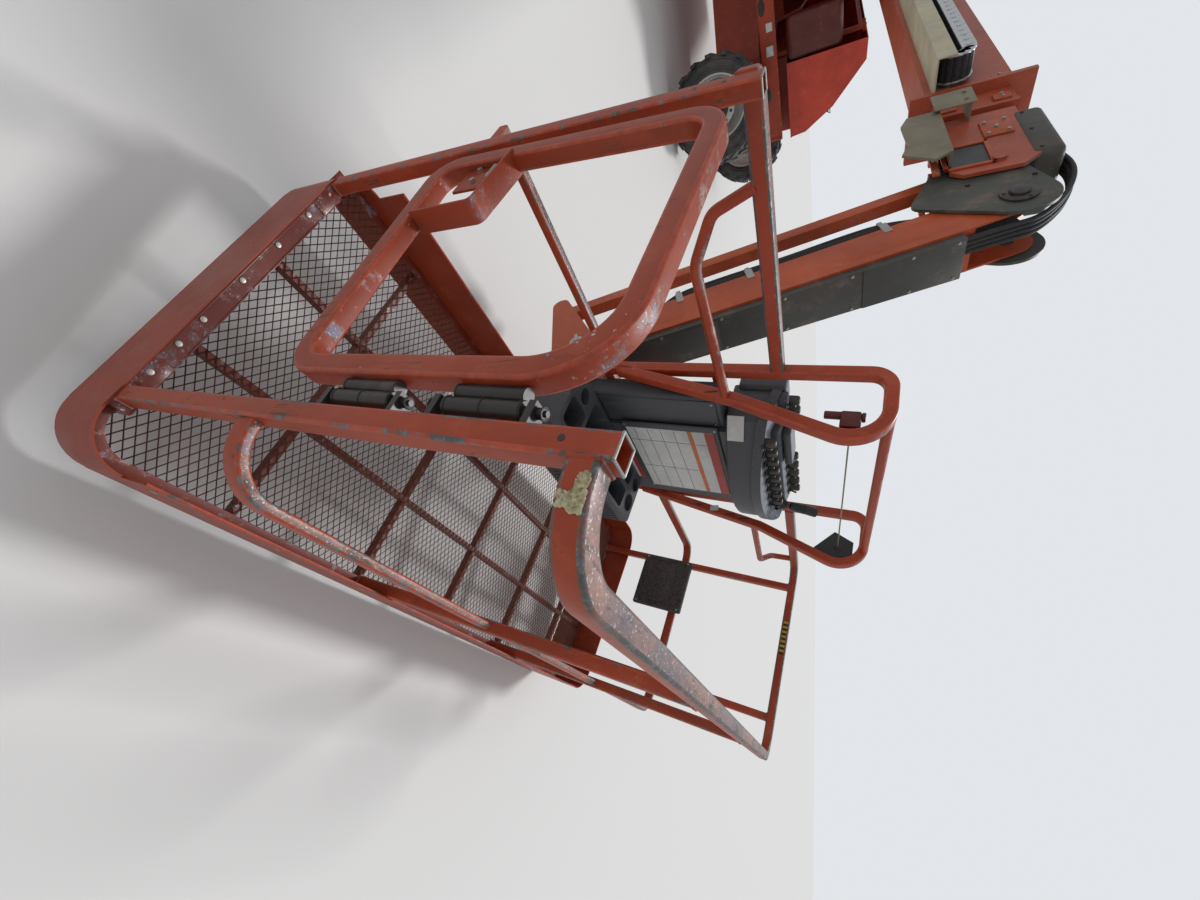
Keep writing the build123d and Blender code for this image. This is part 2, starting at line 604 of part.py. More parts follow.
nodes["boom_fly"] = nodes["boom_fly"] - throat + nose

# Hose carrier along the base section's left side: a tray, the track lying in it, and the nose's bracket
track_in = -base_half
track_front = SECTIONS[0][5] + 5
wall = TRACK_TRAY_WALL
tray = block(track_in - TRACK_TRAY_WIDTH, track_in, track_front, TRACK_REAR, *TRACK_TRAY_Z)
tray -= block(track_in - TRACK_TRAY_WIDTH + wall, track_in - wall, track_front - 1, TRACK_REAR + 1,
              TRACK_TRAY_Z[0] + wall, TRACK_TRAY_Z[1] + 1)
nodes["track_tray"] = tray
track_mid = track_in - TRACK_TRAY_WIDTH / 2
nodes["hose_track"] = block(track_mid - TRACK_WIDTH / 2, track_mid + TRACK_WIDTH / 2, track_front + 135,
                            TRACK_REAR - 50, TRACK_TRAY_Z[0] + wall + RUN_GAP, TRACK_TOP)
bracket_outline = [(-4900, 2030), (-5330, 2030), (-5370, 1975), (-5270, 1862), (-5180, 1890), (-4980, 1880),
                   (-4900, 1910)]
bracket = side_plate(bracket_outline, -NOSE_HALF_WIDTH - 66, -NOSE_HALF_WIDTH - 56)
bracket += block(-NOSE_HALF_WIDTH - 66, -NOSE_HALF_WIDTH, -5330, -4900, 2030, 2040)
nodes["track_bracket"] = bracket

# Lift cylinder
lift_run = Vector(0, LIFT_EYE[0] - LIFT_FOOT[0], LIFT_EYE[1] - LIFT_FOOT[1])
lift_unit = lift_run.normalized()
lift_length = lift_run.length


def lift_point(along):
    """A point on the lift cylinder's line, so far from its foot pin."""
    return (0, LIFT_FOOT[0] + lift_unit.Y * along, LIFT_FOOT[1] + lift_unit.Z * along)


lift_barrel = rod(lift_point(0), lift_point(lift_length - 190), BARREL_RADIUS)
lift_barrel += cross_pin(*LIFT_FOOT, 80, eye_half)
lift_barrel -= rod(lift_point(110), lift_point(lift_length - 100), ROD_RADIUS + RUN_GAP)
lift_barrel -= cross_pin(*LIFT_FOOT, LIFT_PIN_RADIUS + RUN_GAP, eye_half + 40)
nodes["lift_barrel"] = lift_barrel
lift_rod = rod(lift_point(200), lift_point(lift_length), ROD_RADIUS)
lift_rod += cross_pin(*LIFT_EYE, LIFT_EYE_RADIUS, eye_half)
lift_rod -= cross_pin(*LIFT_EYE, LIFT_PIN_RADIUS, eye_half + 10)
nodes["lift_rod"] = lift_rod

# Head, between the fly's nose and the jib
jib_foot = along_jib(ARM_TOP, JIB_FOOT_REACH * math.cos(math.radians(JIB_FOOT_ANGLE)),
                     JIB_FOOT_REACH * math.sin(math.radians(JIB_FOOT_ANGLE)))
jib_eye = along_jib(ARM_TOP, JIB_EYE_ALONG, JIB_EYE_OUT)
head = None
for side in (-1, 1):
    x0, x1 = sorted((side * HEAD_INSIDE, side * (HEAD_INSIDE + HEAD_WALL)))
    cheek = pin_plate([(*LEVEL_PIN, 62), (*ARM_TOP, 125), (*LINK_TOP, 45), (*jib_foot, 45)], x0, x1)
    head = cheek if head is None else head + cheek
    start = (side * (HEAD_INSIDE + 2), *ARM_TOP)
    head += rod(start, (side * (ARM_SIZE / 2 - ARM_WALL), *ARM_TOP), JIB_PIN_RADIUS)
head += cross_pin(*LINK_TOP, LINK_PIN_RADIUS, HEAD_INSIDE + 5)
head += rod((HEAD_INSIDE + 5, *jib_foot), (LINK_X + LINK_WIDTH / 2 + 5, *jib_foot), LINK_PIN_RADIUS)
head += cross_pin(*LEVEL_PIN, JIB_PIN_RADIUS + 20, HEAD_INSIDE + 5)
head -= cross_pin(*LEVEL_PIN, JIB_PIN_RADIUS + RUN_GAP, HEAD_INSIDE + 30)
nodes["head"] = head


# Jib arm and link, drawn hanging straight down and then swung to their angle
def hang(top):
    """From a frame with the piece along -z and the turntable at +y to the piece's place."""
    return Pos(0, *top) * Rot(JIB_HANG - 90, 0, 0)


# The arm is a channel open towards the link, which folds into it as the jib rises
half = ARM_SIZE / 2
inner = half - ARM_WALL
arm = block(-half, half, -half, half, -ARM_TUBE_END, -ARM_TUBE_START)
arm -= block(-inner, inner, -inner, half + 1, -ARM_TUBE_END - 1, -ARM_TUBE_START + 1)
edge = half - 20
top_discs = [(0, 0, 85), (-edge, -ARM_TUBE_START - 20, 20), (edge, -ARM_TUBE_START - 20, 20)]
low_discs = [(0, -JIB_LENGTH, 60), (-edge, -ARM_TUBE_END + 20, 20), (edge, -ARM_TUBE_END + 20, 20)]
for side in (-1, 1):
    x0, x1 = sorted((side * inner, side * half))
    arm += pin_plate(top_discs, x0, x1)
    arm += pin_plate(low_discs, x0, x1)
    for z in (0, -JIB_LENGTH):
        arm += rod((side * inner, 0, z), (side * (HEAD_INSIDE - 1), 0, z), ARM_BOSS_RADIUS)
        arm -= rod((side * (inner - 1), 0, z), (side * HEAD_INSIDE, 0, z), JIB_PIN_RADIUS + RUN_GAP)
# Lugs for the jib cylinder's rod: (across the arm, x from, x to)
for root, x0, x1 in ((half - 4, inner, half),
                     (-inner - 2, JIB_CYLINDER_X - JIB_EYE_HALF - 16, JIB_CYLINDER_X - JIB_EYE_HALF - 6)):
    discs = [(JIB_EYE_OUT, -JIB_EYE_ALONG, 34), (root, -JIB_EYE_ALONG - 110, 4),
             (root, -JIB_EYE_ALONG + 110, 4)]
    arm += pin_plate(discs, x0, x1)
nodes["jib_arm"] = hang(ARM_TOP) * arm

d = LINK_DEPTH / 2
x0 = LINK_X - LINK_WIDTH / 2
x1 = LINK_X + LINK_WIDTH / 2
link = block(x0, x1, -d, d, -JIB_LENGTH, 0)
for z in (0, -JIB_LENGTH):
    link += rod((x0, 0, z), (x1, 0, z), d)
for z in (0, -JIB_LENGTH):
    link -= rod((x0 - 1, 0, z), (x1 + 1, 0, z), LINK_PIN_RADIUS + RUN_GAP)
nodes["jib_link"] = hang(LINK_TOP) * link

# Jib cylinder
jib_run = Vector(0, jib_eye[0] - jib_foot[0], jib_eye[1] - jib_foot[1])
jib_unit = jib_run.normalized()
eye_x = (JIB_CYLINDER_X - JIB_EYE_HALF, JIB_CYLINDER_X + JIB_EYE_HALF)


def jib_point(along):
    """A point on the jib cylinder's line, so far from its foot pin."""
    return (JIB_CYLINDER_X, jib_foot[0] + jib_unit.Y * along, jib_foot[1] + jib_unit.Z * along)


def jib_eye_rod(centre, radius):
    """The cylinder's eye, or with its pin's radius the eye's bore."""
    return rod((eye_x[0], *centre), (eye_x[1], *centre), radius)


jib_barrel = rod(jib_point(0), jib_point(jib_run.length - 40), JIB_BARREL_RADIUS)
jib_barrel += jib_eye_rod(jib_foot, JIB_BARREL_RADIUS)
jib_barrel -= rod(jib_point(42), jib_point(jib_run.length), JIB_ROD_RADIUS + RUN_GAP)
jib_barrel -= rod((0, *jib_foot), (HEAD_INSIDE, *jib_foot), LINK_PIN_RADIUS + RUN_GAP)
nodes["jib_barrel"] = jib_barrel
jib_rod = rod(jib_point(60), jib_point(jib_run.length), JIB_ROD_RADIUS) + jib_eye_rod(jib_eye, 28)
jib_rod -= jib_eye_rod(jib_eye, LINK_PIN_RADIUS)
nodes["jib_rod"] = jib_rod
# The pin's ends stand out from the arm's lugs, on the link's side by no more than the link leaves free
for x, out in ((ARM_SIZE / 2 - ARM_WALL, ARM_WALL + 12), (eye_x[0] - 6, -11)):
    nodes["jib_arm"] += rod((x, *jib_eye), (x + out, *jib_eye), LINK_PIN_RADIUS)

# Support between the jib's lower pins and the rotator
arm_low = along_jib(ARM_TOP, JIB_LENGTH, 0)
link_low = along_jib(LINK_TOP, JIB_LENGTH, 0)
yaw = math.radians(PLATFORM_YAW)
rotator_x = (-PLATFORM_CORNER[0] + ROTATOR_Y * math.sin(yaw)) / math.cos(yaw)
rotator_mid = (ROTATOR_BOTTOM + ROTATOR_TOP) / 2
actuator = Pos(rotator_x, ROTATOR_Y, rotator_mid) * Cylinder(ROTATOR_RADIUS, ROTATOR_TOP - ROTATOR_BOTTOM)
shaft = Cylinder(ROTATOR_SHAFT_RADIUS, ROTATOR_TOP - ROTATOR_BOTTOM + 60)
actuator += Pos(rotator_x, ROTATOR_Y, rotator_mid) * shaft
web = block(rotator_x - 101, rotator_x + 101, ROTATOR_Y + 60, ROTATOR_Y + 100, ROTATOR_BOTTOM + 30,
            ROTATOR_TOP - 30)
support = platform_place * (actuator + web)
web_low = (platform_place * Pos(rotator_x, ROTATOR_Y + 80, ROTATOR_BOTTOM + 70)).position
web_high = (platform_place * Pos(rotator_x, ROTATOR_Y + 80, ROTATOR_TOP - 70)).position
discs = [(*arm_low, 70), (*link_low, 45), (web_low.Y, web_low.Z, 50), (web_high.Y, web_high.Z, 50)]
for side in (-1, 1):
    support += pin_plate(discs, *sorted((side * HEAD_INSIDE, side * (HEAD_INSIDE + HEAD_WALL))))
support += cross_pin(*arm_low, JIB_PIN_RADIUS, HEAD_INSIDE + 5)
for x in (LINK_X - LINK_WIDTH / 2 - 14, LINK_X + LINK_WIDTH / 2 + 4):
    support += pin_plate([(*arm_low, ARM_BOSS_RADIUS), (*link_low, 34)], x, x + 10)
pin_half = LINK_WIDTH / 2 + 10
support += rod((LINK_X - pin_half, *link_low), (LINK_X + pin_half, *link_low), LINK_PIN_RADIUS)
nodes["platform_support"] = support

# Platform
L = PLATFORM_LENGTH


def rounded_plate(inset, radius, z0, z1):
    """A level plate of the platform's plan, drawn in by inset."""
    width = PLATFORM_INNER - PLATFORM_OUTER
    plan = RectangleRounded(L - 2 * inset, width - 2 * inset, radius)
    return extrude(Plane.XY.offset(z0) * (Pos(L / 2, PLATFORM_OUTER + width / 2) * plan), amount=z1 - z0)


def make_floor_frame():
    """The bars under the mesh: two along the platform and a row across it, up to the toe board."""
    top = MESH_TOP - MESH_WALL
    low = top - FLOOR_BAR_DEPTH
    half = FLOOR_BAR / 2
    bars = None
    for y in FLOOR_BARS_Y:
        bar = block(TOE_WALL, L - TOE_WALL, y - half, y + half, low, top)
        bars = bar if bars is None else bars + bar
    for k in range(5):
        x = FIRST_CROSS_BAR + k * CROSS_BAR_PITCH
        bars += block(x - half, x + half, PLATFORM_OUTER + TOE_WALL, PLATFORM_INNER - TOE_WALL, low, top)
    return bars


toe = rounded_plate(0, CORNER_RADIUS, TOE_BOTTOM, TOE_TOP)
toe -= rounded_plate(TOE_WALL, CORNER_RADIUS - TOE_WALL, TOE_BOTTOM - 1, TOE_TOP + 1)
toe -= block(-1, CORNER_RADIUS, PLATFORM_OUTER - 1, PLATFORM_INNER + 1, 0, TOE_TOP + 1)
nodes["toe_board"] = toe
nodes["floor_frame"] = make_floor_frame()
mesh_bottom = MESH_TOP - MESH_WALL
nodes["floor_mesh"] = rounded_plate(TOE_WALL + RUN_GAP, CORNER_RADIUS - TOE_WALL, mesh_bottom, MESH_TOP)
sill_y = (PLATFORM_OUTER + CORNER_RADIUS, PLATFORM_INNER - CORNER_RADIUS)
nodes["gate_sill"] = block(TOE_WALL, SILL_WIDTH, *sill_y, MESH_TOP, 0)

# Rails and posts
h = RAIL / 2
rail_z = RAIL_HEIGHT - TOP_RAIL / 2
gate_post_x = TOE_WALL + h
far_x = L - TOE_WALL - h
near_y = PLATFORM_OUTER + TOE_WALL + h
boom_y = PLATFORM_INNER - TOE_WALL - h


def rail_round(z):
    """The way round the outer side and the far end, from the gate's post to the guard's far leg."""
    points = [(gate_post_x, GATE_POST_Y - h), (gate_post_x, near_y), (far_x, near_y), (far_x, boom_y),
              (GUARD_X[1] + h, boom_y)]
    return level_path(points, [RAIL_BEND, FAR_BEND, FAR_BEND], z)


main_rail = bent_tube(TOP_RAIL, rail_round(rail_z))
short_rail = bent_tube(TOP_RAIL, level_path([(gate_post_x, LATCH_POST_Y + h), (gate_post_x, boom_y),
                                             (GUARD_X[0] - h, boom_y)], [LATCH_BEND], rail_z))
nodes["top_rails"] = Compound(children=[main_rail, short_rail])
# columns: x, y
GATE_POSTS = ((gate_post_x, GATE_POST_Y), (gate_post_x, LATCH_POST_Y))
RAIL_POSTS = ((815, near_y), (1630, near_y), (far_x, 130), (far_x, PLATFORM_INNER - 130))
# The middle rail is one strip round the outer side and the far end, and a square bar on the boom's side
posts = bent_tube(STRIP_WIDTH, rail_round(OUTER_STRIP_Z), STRIP_WALL)
for x, y in RAIL_POSTS:
    posts += block(x - h, x + h, y - h, y + h, MESH_TOP, RAIL_HEIGHT - TOP_RAIL)
for x, y in GATE_POSTS:
    posts += block(x - h, x + h, y - h, y + h, 0, RAIL_HEIGHT + POST_RISE)
    bore = h - TUBE_WALL
    post_top = RAIL_HEIGHT + POST_RISE
    posts -= block(x - bore, x + bore, y - bore, y + bore, RAIL_HEIGHT - 3 * RAIL, post_top + 1)
m = MID_RAIL / 2
low = BOOM_MID_RAIL_Z - m
posts += block(gate_post_x - m, gate_post_x + m, LATCH_POST_Y, boom_y + m, low, low + MID_RAIL)
posts += block(gate_post_x, GUARD_X[0] - h, boom_y - m, boom_y + m, low, low + MID_RAIL)
nodes["posts"] = posts

# Guard over the console: a bent frame at each end and a bar between them
guard = None
bend_y, bend_z = 778, 978
for x, leg_z in ((GUARD_X[0], 562), (GUARD_X[1], 400)):
    bend = (x, bend_y, bend_z)
    points = [(x, boom_y, MESH_TOP), (x, boom_y, GUARD_TOP), (x, 636, GUARD_TOP), bend]
    frame = square_tube(points, [50, 95], RAIL, RAIL)
    frame += rod((x - h, bend_y, bend_z), (x + h, bend_y, bend_z), h)
    run = Vector(x, boom_y - 10, leg_z) - Vector(*bend)
    section = Plane(origin=bend, z_dir=run, x_dir=(1, 0, 0)) * Rectangle(RAIL, RAIL)
    frame += extrude(section, amount=run.length)
    guard = frame if guard is None else guard + frame
guard += rod((GUARD_X[0], 742, GUARD_TOP), (GUARD_X[1], 742, GUARD_TOP), HAND_RAIL_RADIUS)
# The floor's mesh is cut out round the posts, the guard's legs and the sill, so its top is free
reach = h + RUN_GAP
floor_mesh = nodes["floor_mesh"]
for x, y in (*RAIL_POSTS, (GUARD_X[0], boom_y), (GUARD_X[1], boom_y)):
    floor_mesh -= block(x - reach, x + reach, y - reach, y + reach, mesh_bottom - 1, MESH_TOP + 1)
floor_mesh -= block(0, SILL_WIDTH + RUN_GAP, sill_y[0] - RUN_GAP, sill_y[1] + RUN_GAP, mesh_bottom - 1,
                    MESH_TOP + 1)
nodes["floor_mesh"] = floor_mesh
for z in GUARD_BARS_Z:
    guard += block(*GUARD_X, boom_y - h, boom_y + h, z - h, z + h)
# Rails that leave the top rail and run down to the guard's legs
for sign, x_mid, top in ((1, 0.0, short_rail), (-1, GUARD_X[0] + GUARD_X[1], main_rail)):
    points = [(x_mid + sign * 225, boom_y - 8, rail_z - 12), (x_mid + sign * 262, 865, 975),
              (x_mid + sign * 347, 800, HAND_RAIL_Z), (x_mid + sign * (GUARD_X[0] - 8), 782, 950)]
    guard += round_tube(points, [40, 60], HAND_RAIL_RADIUS) - top
nodes["console_guard"] = guard

# Console: a pedestal against the guard's bars, and a box with a round front on top
pedestal_back = boom_y - h
pedestal_front = pedestal_back - CONSOLE_DEPTH
nodes["console"] = block(*CONSOLE_X, pedestal_front, pedestal_back, CONSOLE_FOOT, BOX_Z[0])
box_back = boom_y + 37
box_side = 760
box_plan = Line((BOX_X[0], box_back), (BOX_X[1], box_back)) + Line((BOX_X[1], box_back), (BOX_X[1], box_side))
box_nose = ((BOX_X[0] + BOX_X[1]) / 2, box_side - 105)
box_plan += ThreePointArc((BOX_X[1], box_side), box_nose, (BOX_X[0], box_side))
box_plan += Line((BOX_X[0], box_side), (BOX_X[0], box_back))
nodes["control_box"] = extrude(Plane.XY.offset(BOX_Z[0]) * make_face(box_plan), amount=BOX_Z[1] - BOX_Z[0])


def upright_block(x0, x1, y0, y1, z0, z1, corner):
    """A block with its upright edges rounded."""
    plan = Pos((x0 + x1) / 2, (y0 + y1) / 2) * RectangleRounded(x1 - x0, y1 - y0, corner)
    return extrude(Plane.XY.offset(z0) * plan, amount=z1 - z0)


tray = upright_block(*TRAY_X, TRAY_FRONT, pedestal_front, *TRAY_Z, TRAY_ROUND)
# columns: x from, x to, y from, y to, depth
TRAY_POCKETS = ((700, 860, 590, 765, 150), (880, 1000, 590, 765, 170), (1020, 1110, 600, 765, 120),
                (1130, 1210, 690, 765, 90), (1300, 1380, 600, 765, 120))
for x0, x1, y0, y1, depth in TRAY_POCKETS:
    tray -= upright_block(x0, x1, y0, y1, TRAY_Z[1] - depth, TRAY_Z[1] + 1, 16)
for x, y in ((1170, 640), (1255, 640), (1255, 725)):
    tray -= Pos(x, y, TRAY_Z[1]) * Cylinder(35, 180)
nodes["tool_tray"] = tray
nodes["far_pad"] = block(far_x - h - 35, far_x - h - 5, *PAD_Y, *PAD_Z)

# Gate: a bent square loop hinged on the post at the outer corner, with a flat bar round its latch
gate_x = gate_post_x
gate_hinge_y = GATE_POST_Y + h + GATE_HINGE_OUT
latch_y, latch_low = GATE_LATCH_CORNER
gate_mid = (GATE_HINGE_SIDE + latch_y) / 2
low_mid = (gate_x, gate_mid, (GATE_LOW + latch_low) / 2)
top_mid = (gate_x, gate_mid, GATE_TOP)
gate = square_tube([low_mid, (gate_x, latch_y, latch_low), (gate_x, GATE_LATCH_TOP, GATE_TOP), top_mid],
                   [50, 60], GATE_TUBE, GATE_TUBE)
gate_corners = [(gate_x, GATE_HINGE_SIDE, GATE_TOP), (gate_x, GATE_HINGE_SIDE, GATE_LOW)]
gate += square_tube([top_mid, *gate_corners, low_mid], [120, 60], GATE_TUBE, GATE_TUBE)
gate += square_tube([(gate_x, 745, 645), (gate_x, 578, 632), (gate_x, 573, 478)], [14], 50, 6)
nodes["gate"] = gate
pins = None
barrels = []
gate_face = GATE_HINGE_SIDE - GATE_TUBE / 2
for z0, z1 in GATE_HINGES_Z:
    z = (z0 + z1) / 2
    pin = Pos(gate_x, gate_hinge_y, z) * Cylinder(GATE_PIN_RADIUS, z1 - z0 + 50)
    for tab in (z0 - 18, z1 + 8):
        pin += block(gate_x - 12, gate_x + 12, GATE_POST_Y + h, gate_hinge_y + 10, tab, tab + 10)
    pins = pin if pins is None else pins + pin
    spring_y = gate_hinge_y + 2 * GATE_BARREL_RADIUS - 4
    barrel = Pos(gate_x, gate_hinge_y, z) * Cylinder(GATE_BARREL_RADIUS, z1 - z0)
    barrel += Pos(gate_x, spring_y, z) * Cylinder(GATE_BARREL_RADIUS - 2, z1 - z0 - 12)
    barrel += block(gate_x - 5, gate_x + 5, gate_hinge_y + 10, gate_face, z - 40, z + 40)
    barrels.append(barrel - Pos(gate_x, gate_hinge_y, z) * Cylinder(GATE_PIN_RADIUS + RUN_GAP, z1 - z0 + 1))
nodes["gate_hinges"] = pins
nodes["gate_barrels"] = Compound(children=barrels)

# Bracket from the rotator's shaft to the platform's outer face
face = PLATFORM_INNER
bracket = block(rotator_x - 160, rotator_x + 160, face, face + 12, TOE_BOTTOM + 50, ROTATOR_TOP + 90)
for z0, z1 in ((ROTATOR_BOTTOM - 32, ROTATOR_BOTTOM - RUN_GAP), (ROTATOR_TOP + RUN_GAP, ROTATOR_TOP + 20)):
    bracket += block(rotator_x - 75, rotator_x + 75, face + 11, ROTATOR_Y + 60, z0, z1)
bracket -= Pos(rotator_x, ROTATOR_Y, rotator_mid) * Cylinder(ROTATOR_SHAFT_RADIUS + RUN_GAP, 600)
nodes["platform_bracket"] = bracket
PLATFORM_NODES = ("toe_board", "floor_frame", "floor_mesh", "gate_sill", "top_rails", "posts",
                  "console_guard", "console", "control_box", "tool_tray", "far_pad", "gate_hinges",
                  "gate_barrels", "gate", "platform_bracket")
for name in PLATFORM_NODES:
    nodes[name] = platform_place * nodes[name]

# The origin is the middle of the machine's plan, on the ground
everything = Compound(children=[Compound(list(shape.solids())) for shape in nodes.values()])
bounds = everything.bounding_box()
shift = Pos(-(bounds.min.X + bounds.max.X) / 2, -(bounds.min.Y + bounds.max.Y) / 2, -bounds.min.Z)

if __name__ == "__main__":
    os.makedirs("parts", exist_ok=True)
    for name, shape in nodes.items():
        export_step(shift * Compound(list(shape.solids())), "parts/" + name + ".step")
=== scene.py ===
import math
import random

import bmesh
import bpy
from mathutils import Matrix, Vector, noise
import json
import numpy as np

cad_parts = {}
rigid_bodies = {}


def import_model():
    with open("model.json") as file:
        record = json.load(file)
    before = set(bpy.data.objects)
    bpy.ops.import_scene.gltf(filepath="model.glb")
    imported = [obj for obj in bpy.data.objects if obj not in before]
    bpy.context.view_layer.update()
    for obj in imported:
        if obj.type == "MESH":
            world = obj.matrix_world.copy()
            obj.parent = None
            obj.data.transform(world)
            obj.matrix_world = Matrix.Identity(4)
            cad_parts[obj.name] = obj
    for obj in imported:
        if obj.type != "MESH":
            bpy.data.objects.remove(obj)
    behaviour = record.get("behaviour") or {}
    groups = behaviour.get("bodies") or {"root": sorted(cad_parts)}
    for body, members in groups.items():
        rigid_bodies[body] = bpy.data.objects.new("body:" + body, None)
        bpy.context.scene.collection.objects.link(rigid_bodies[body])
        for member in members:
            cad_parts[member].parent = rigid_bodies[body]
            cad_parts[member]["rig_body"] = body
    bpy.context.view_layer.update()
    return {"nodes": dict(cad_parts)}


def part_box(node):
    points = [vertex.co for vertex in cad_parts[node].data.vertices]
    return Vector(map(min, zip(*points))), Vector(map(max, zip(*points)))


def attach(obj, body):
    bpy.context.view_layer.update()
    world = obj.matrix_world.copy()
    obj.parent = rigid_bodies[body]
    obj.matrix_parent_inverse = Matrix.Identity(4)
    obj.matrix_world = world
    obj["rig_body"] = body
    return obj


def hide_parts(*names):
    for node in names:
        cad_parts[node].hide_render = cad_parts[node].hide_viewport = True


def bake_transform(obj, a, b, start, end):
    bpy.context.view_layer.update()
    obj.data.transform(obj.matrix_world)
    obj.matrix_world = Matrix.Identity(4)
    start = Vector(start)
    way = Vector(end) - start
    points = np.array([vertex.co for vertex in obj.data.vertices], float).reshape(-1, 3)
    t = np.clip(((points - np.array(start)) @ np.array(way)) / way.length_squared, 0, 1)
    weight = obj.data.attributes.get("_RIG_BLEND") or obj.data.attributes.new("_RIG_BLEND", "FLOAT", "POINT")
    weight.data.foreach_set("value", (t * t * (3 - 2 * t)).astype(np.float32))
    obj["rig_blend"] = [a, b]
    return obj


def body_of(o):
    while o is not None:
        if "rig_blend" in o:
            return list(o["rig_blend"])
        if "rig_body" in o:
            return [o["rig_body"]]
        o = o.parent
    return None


bl_info = {
    "name": "Telescopic boom lift",
    "version": (1, 0, 0),
    "blender": (4, 5, 0),
    "location": "View3D > Sidebar > Boom Lift",
    "description": "Dresses the packed boom lift with its finishes, small parts and studio",
    "category": "Object",
}

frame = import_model()
NODES = frame["nodes"]
MM = 0.001

# The machine's own axes, in millimetres: the swing axis at x = y = 0 and the ground at z = 0
_low, _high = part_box("swing_bearing")
SWING = Vector(((_low[0] + _high[0]) / 2, (_low[1] + _high[1]) / 2, 0))
MACHINE = Matrix.Translation(SWING) @ Matrix.Scale(MM, 4)
# The platform's own axes, in millimetres: x from the gate end, y from the outer side, z from the sill
PLATFORM = (
    MACHINE
    @ Matrix.Translation((-1050.4, -7494.3, 271.0))
    @ Matrix.Rotation(math.radians(4.7), 4, "Z")
    @ Matrix.Rotation(math.radians(1.43), 4, "Y")
    @ Matrix.Rotation(math.radians(6.69), 4, "X")
)
# The chassis' own axes: x along it, the steered axle at -x
CHASSIS = MACHINE @ Matrix.Rotation(math.radians(-29.9), 4, "Z")
# The head's pins for the jib's arm and for its link, as y and z
ARM_PIN = (-5602, 2220)
LINK_PIN = (-5291, 2030)
# The arm's and the link's own axes: from those pins, -z down along them and -y to their front
JIB_TURN = Matrix.Rotation(math.radians(-18.6), 4, "X")
JIB = MACHINE @ Matrix.Translation((0, *ARM_PIN)) @ JIB_TURN
LINK = MACHINE @ Matrix.Translation((0, *LINK_PIN)) @ JIB_TURN
# How far the lower pins are down the arm and the link
ARM_LENGTH = 1800
# The platform's plan and heights
LENGTH = 2440.0
OUTER = -53.0
INNER = 914.0
MESH_TOP = -50.0
TOE_TOP = 100.0
TOE_BOTTOM = -200.0
TOE_WALL = 5.0
TUBE = 35.0
TOP_TUBE = 38.0
RAIL_TOP = 1100.0
NEAR_Y = OUTER + TOE_WALL + TUBE / 2
BOOM_Y = INNER - TOE_WALL - TUBE / 2
GATE_X = TOE_WALL + TUBE / 2
FAR_X = LENGTH - TOE_WALL - TUBE / 2
GUARD_X = (800.0, 1660.0)
# The posts' middles, and those of the two posts beside the gate
POSTS = ((815, NEAR_Y), (1630, NEAR_Y), (FAR_X, 130), (FAR_X, INNER - 130))
GATE_POSTS = (89, 825)
# The radius of the near bend, along the tube's middle
NEAR_BEND = 100.0
# Where the top rail's two ends stop, on the faces of those posts
RAIL_ENDS = (GATE_POSTS[0] - TUBE / 2, GATE_POSTS[1] + TUBE / 2)
RAIL_Z = RAIL_TOP - TOP_TUBE / 2
# The places across of the gate hinge's two barrels
HINGE_Y = (128.5, 150.5)
# The height of the guard frames' top, along the tube's middle
GUARD_TOP = 1375
# The boom's middle height, the turntable's front and the counterweight's radius
BOOM_Z = 2210
FRONT = -1250
TAIL = 2430


# Shapes


def round_off(bm, geom, offset, segments=2, affect="EDGES"):
    """Bevels edges, or the corners of a face."""
    bmesh.ops.bevel(
        bm, geom=geom, offset=offset, offset_type="OFFSET", affect=affect, segments=segments, profile=0.5,
        clamp_overlap=True, material=-1,
    )


def edges_of(verts):
    return list({edge for vert in verts for edge in vert.link_edges})


def add_block(bm, low, high, bevel=0.0, segments=2):
    """A box between two opposite corners, with its edges rounded."""
    size = [abs(end - start) for start, end in zip(low, high)]
    place = Matrix.Translation((Vector(low) + Vector(high)) / 2) @ Matrix.Diagonal((*size, 1))
    made = bmesh.ops.create_cube(bm, size=1.0, matrix=place)
    if bevel:
        round_off(bm, edges_of(made["verts"]), bevel, segments)
    return made["verts"]


def add_rod(bm, start, end, radius, sides, radius_end=None, bevel=0.0):
    """A round bar between two points, or a taper."""
    run = Vector(end) - Vector(start)
    turn = run.to_track_quat("Z", "Y").to_matrix().to_4x4()
    place = Matrix.Translation((Vector(start) + Vector(end)) / 2) @ turn
    made = bmesh.ops.create_cone(
        bm, cap_ends=True, cap_tris=False, segments=sides, radius1=radius,
        radius2=radius if radius_end is None else radius_end, depth=run.length, matrix=place,
    )
    if bevel:
        edges = edges_of(made["verts"])
        round_off(bm, [edge for edge in edges if any(len(face.verts) > 4 for face in edge.link_faces)], bevel)


def add_bolt(bm, centre, axis, size, washer=True):
    """A hexagon bolt head on its washer, standing out along an axis."""
    centre = Vector(centre)
    axis = Vector(axis).normalized()
    if washer:
        add_rod(bm, centre - axis * size * 0.1, centre + axis * size * 0.16, size * 1.05, 16)
    add_rod(bm, centre + axis * size * 0.1, centre + axis * size * 0.75, size * 0.85, 6)


def add_ring(bm, centre, axis, radius, thickness, around, sides):
    """A torus, spun from a small circle."""
    axis = Vector(axis).normalized()
    turn = axis.to_track_quat("Z", "Y").to_matrix().to_4x4()
    place = Matrix.Translation(Vector(centre)) @ turn
    start = place @ Matrix.Translation((radius, 0, 0)) @ Matrix.Rotation(math.pi / 2, 4, "X")
    made = bmesh.ops.create_circle(bm, cap_ends=False, segments=sides, radius=thickness, matrix=start)
    bmesh.ops.spin(
        bm, geom=made["verts"] + edges_of(made["verts"]), cent=Vector(centre), axis=axis, dvec=(0, 0, 0),
        angle=math.tau, steps=around, use_merge=True, use_duplicate=False,
    )


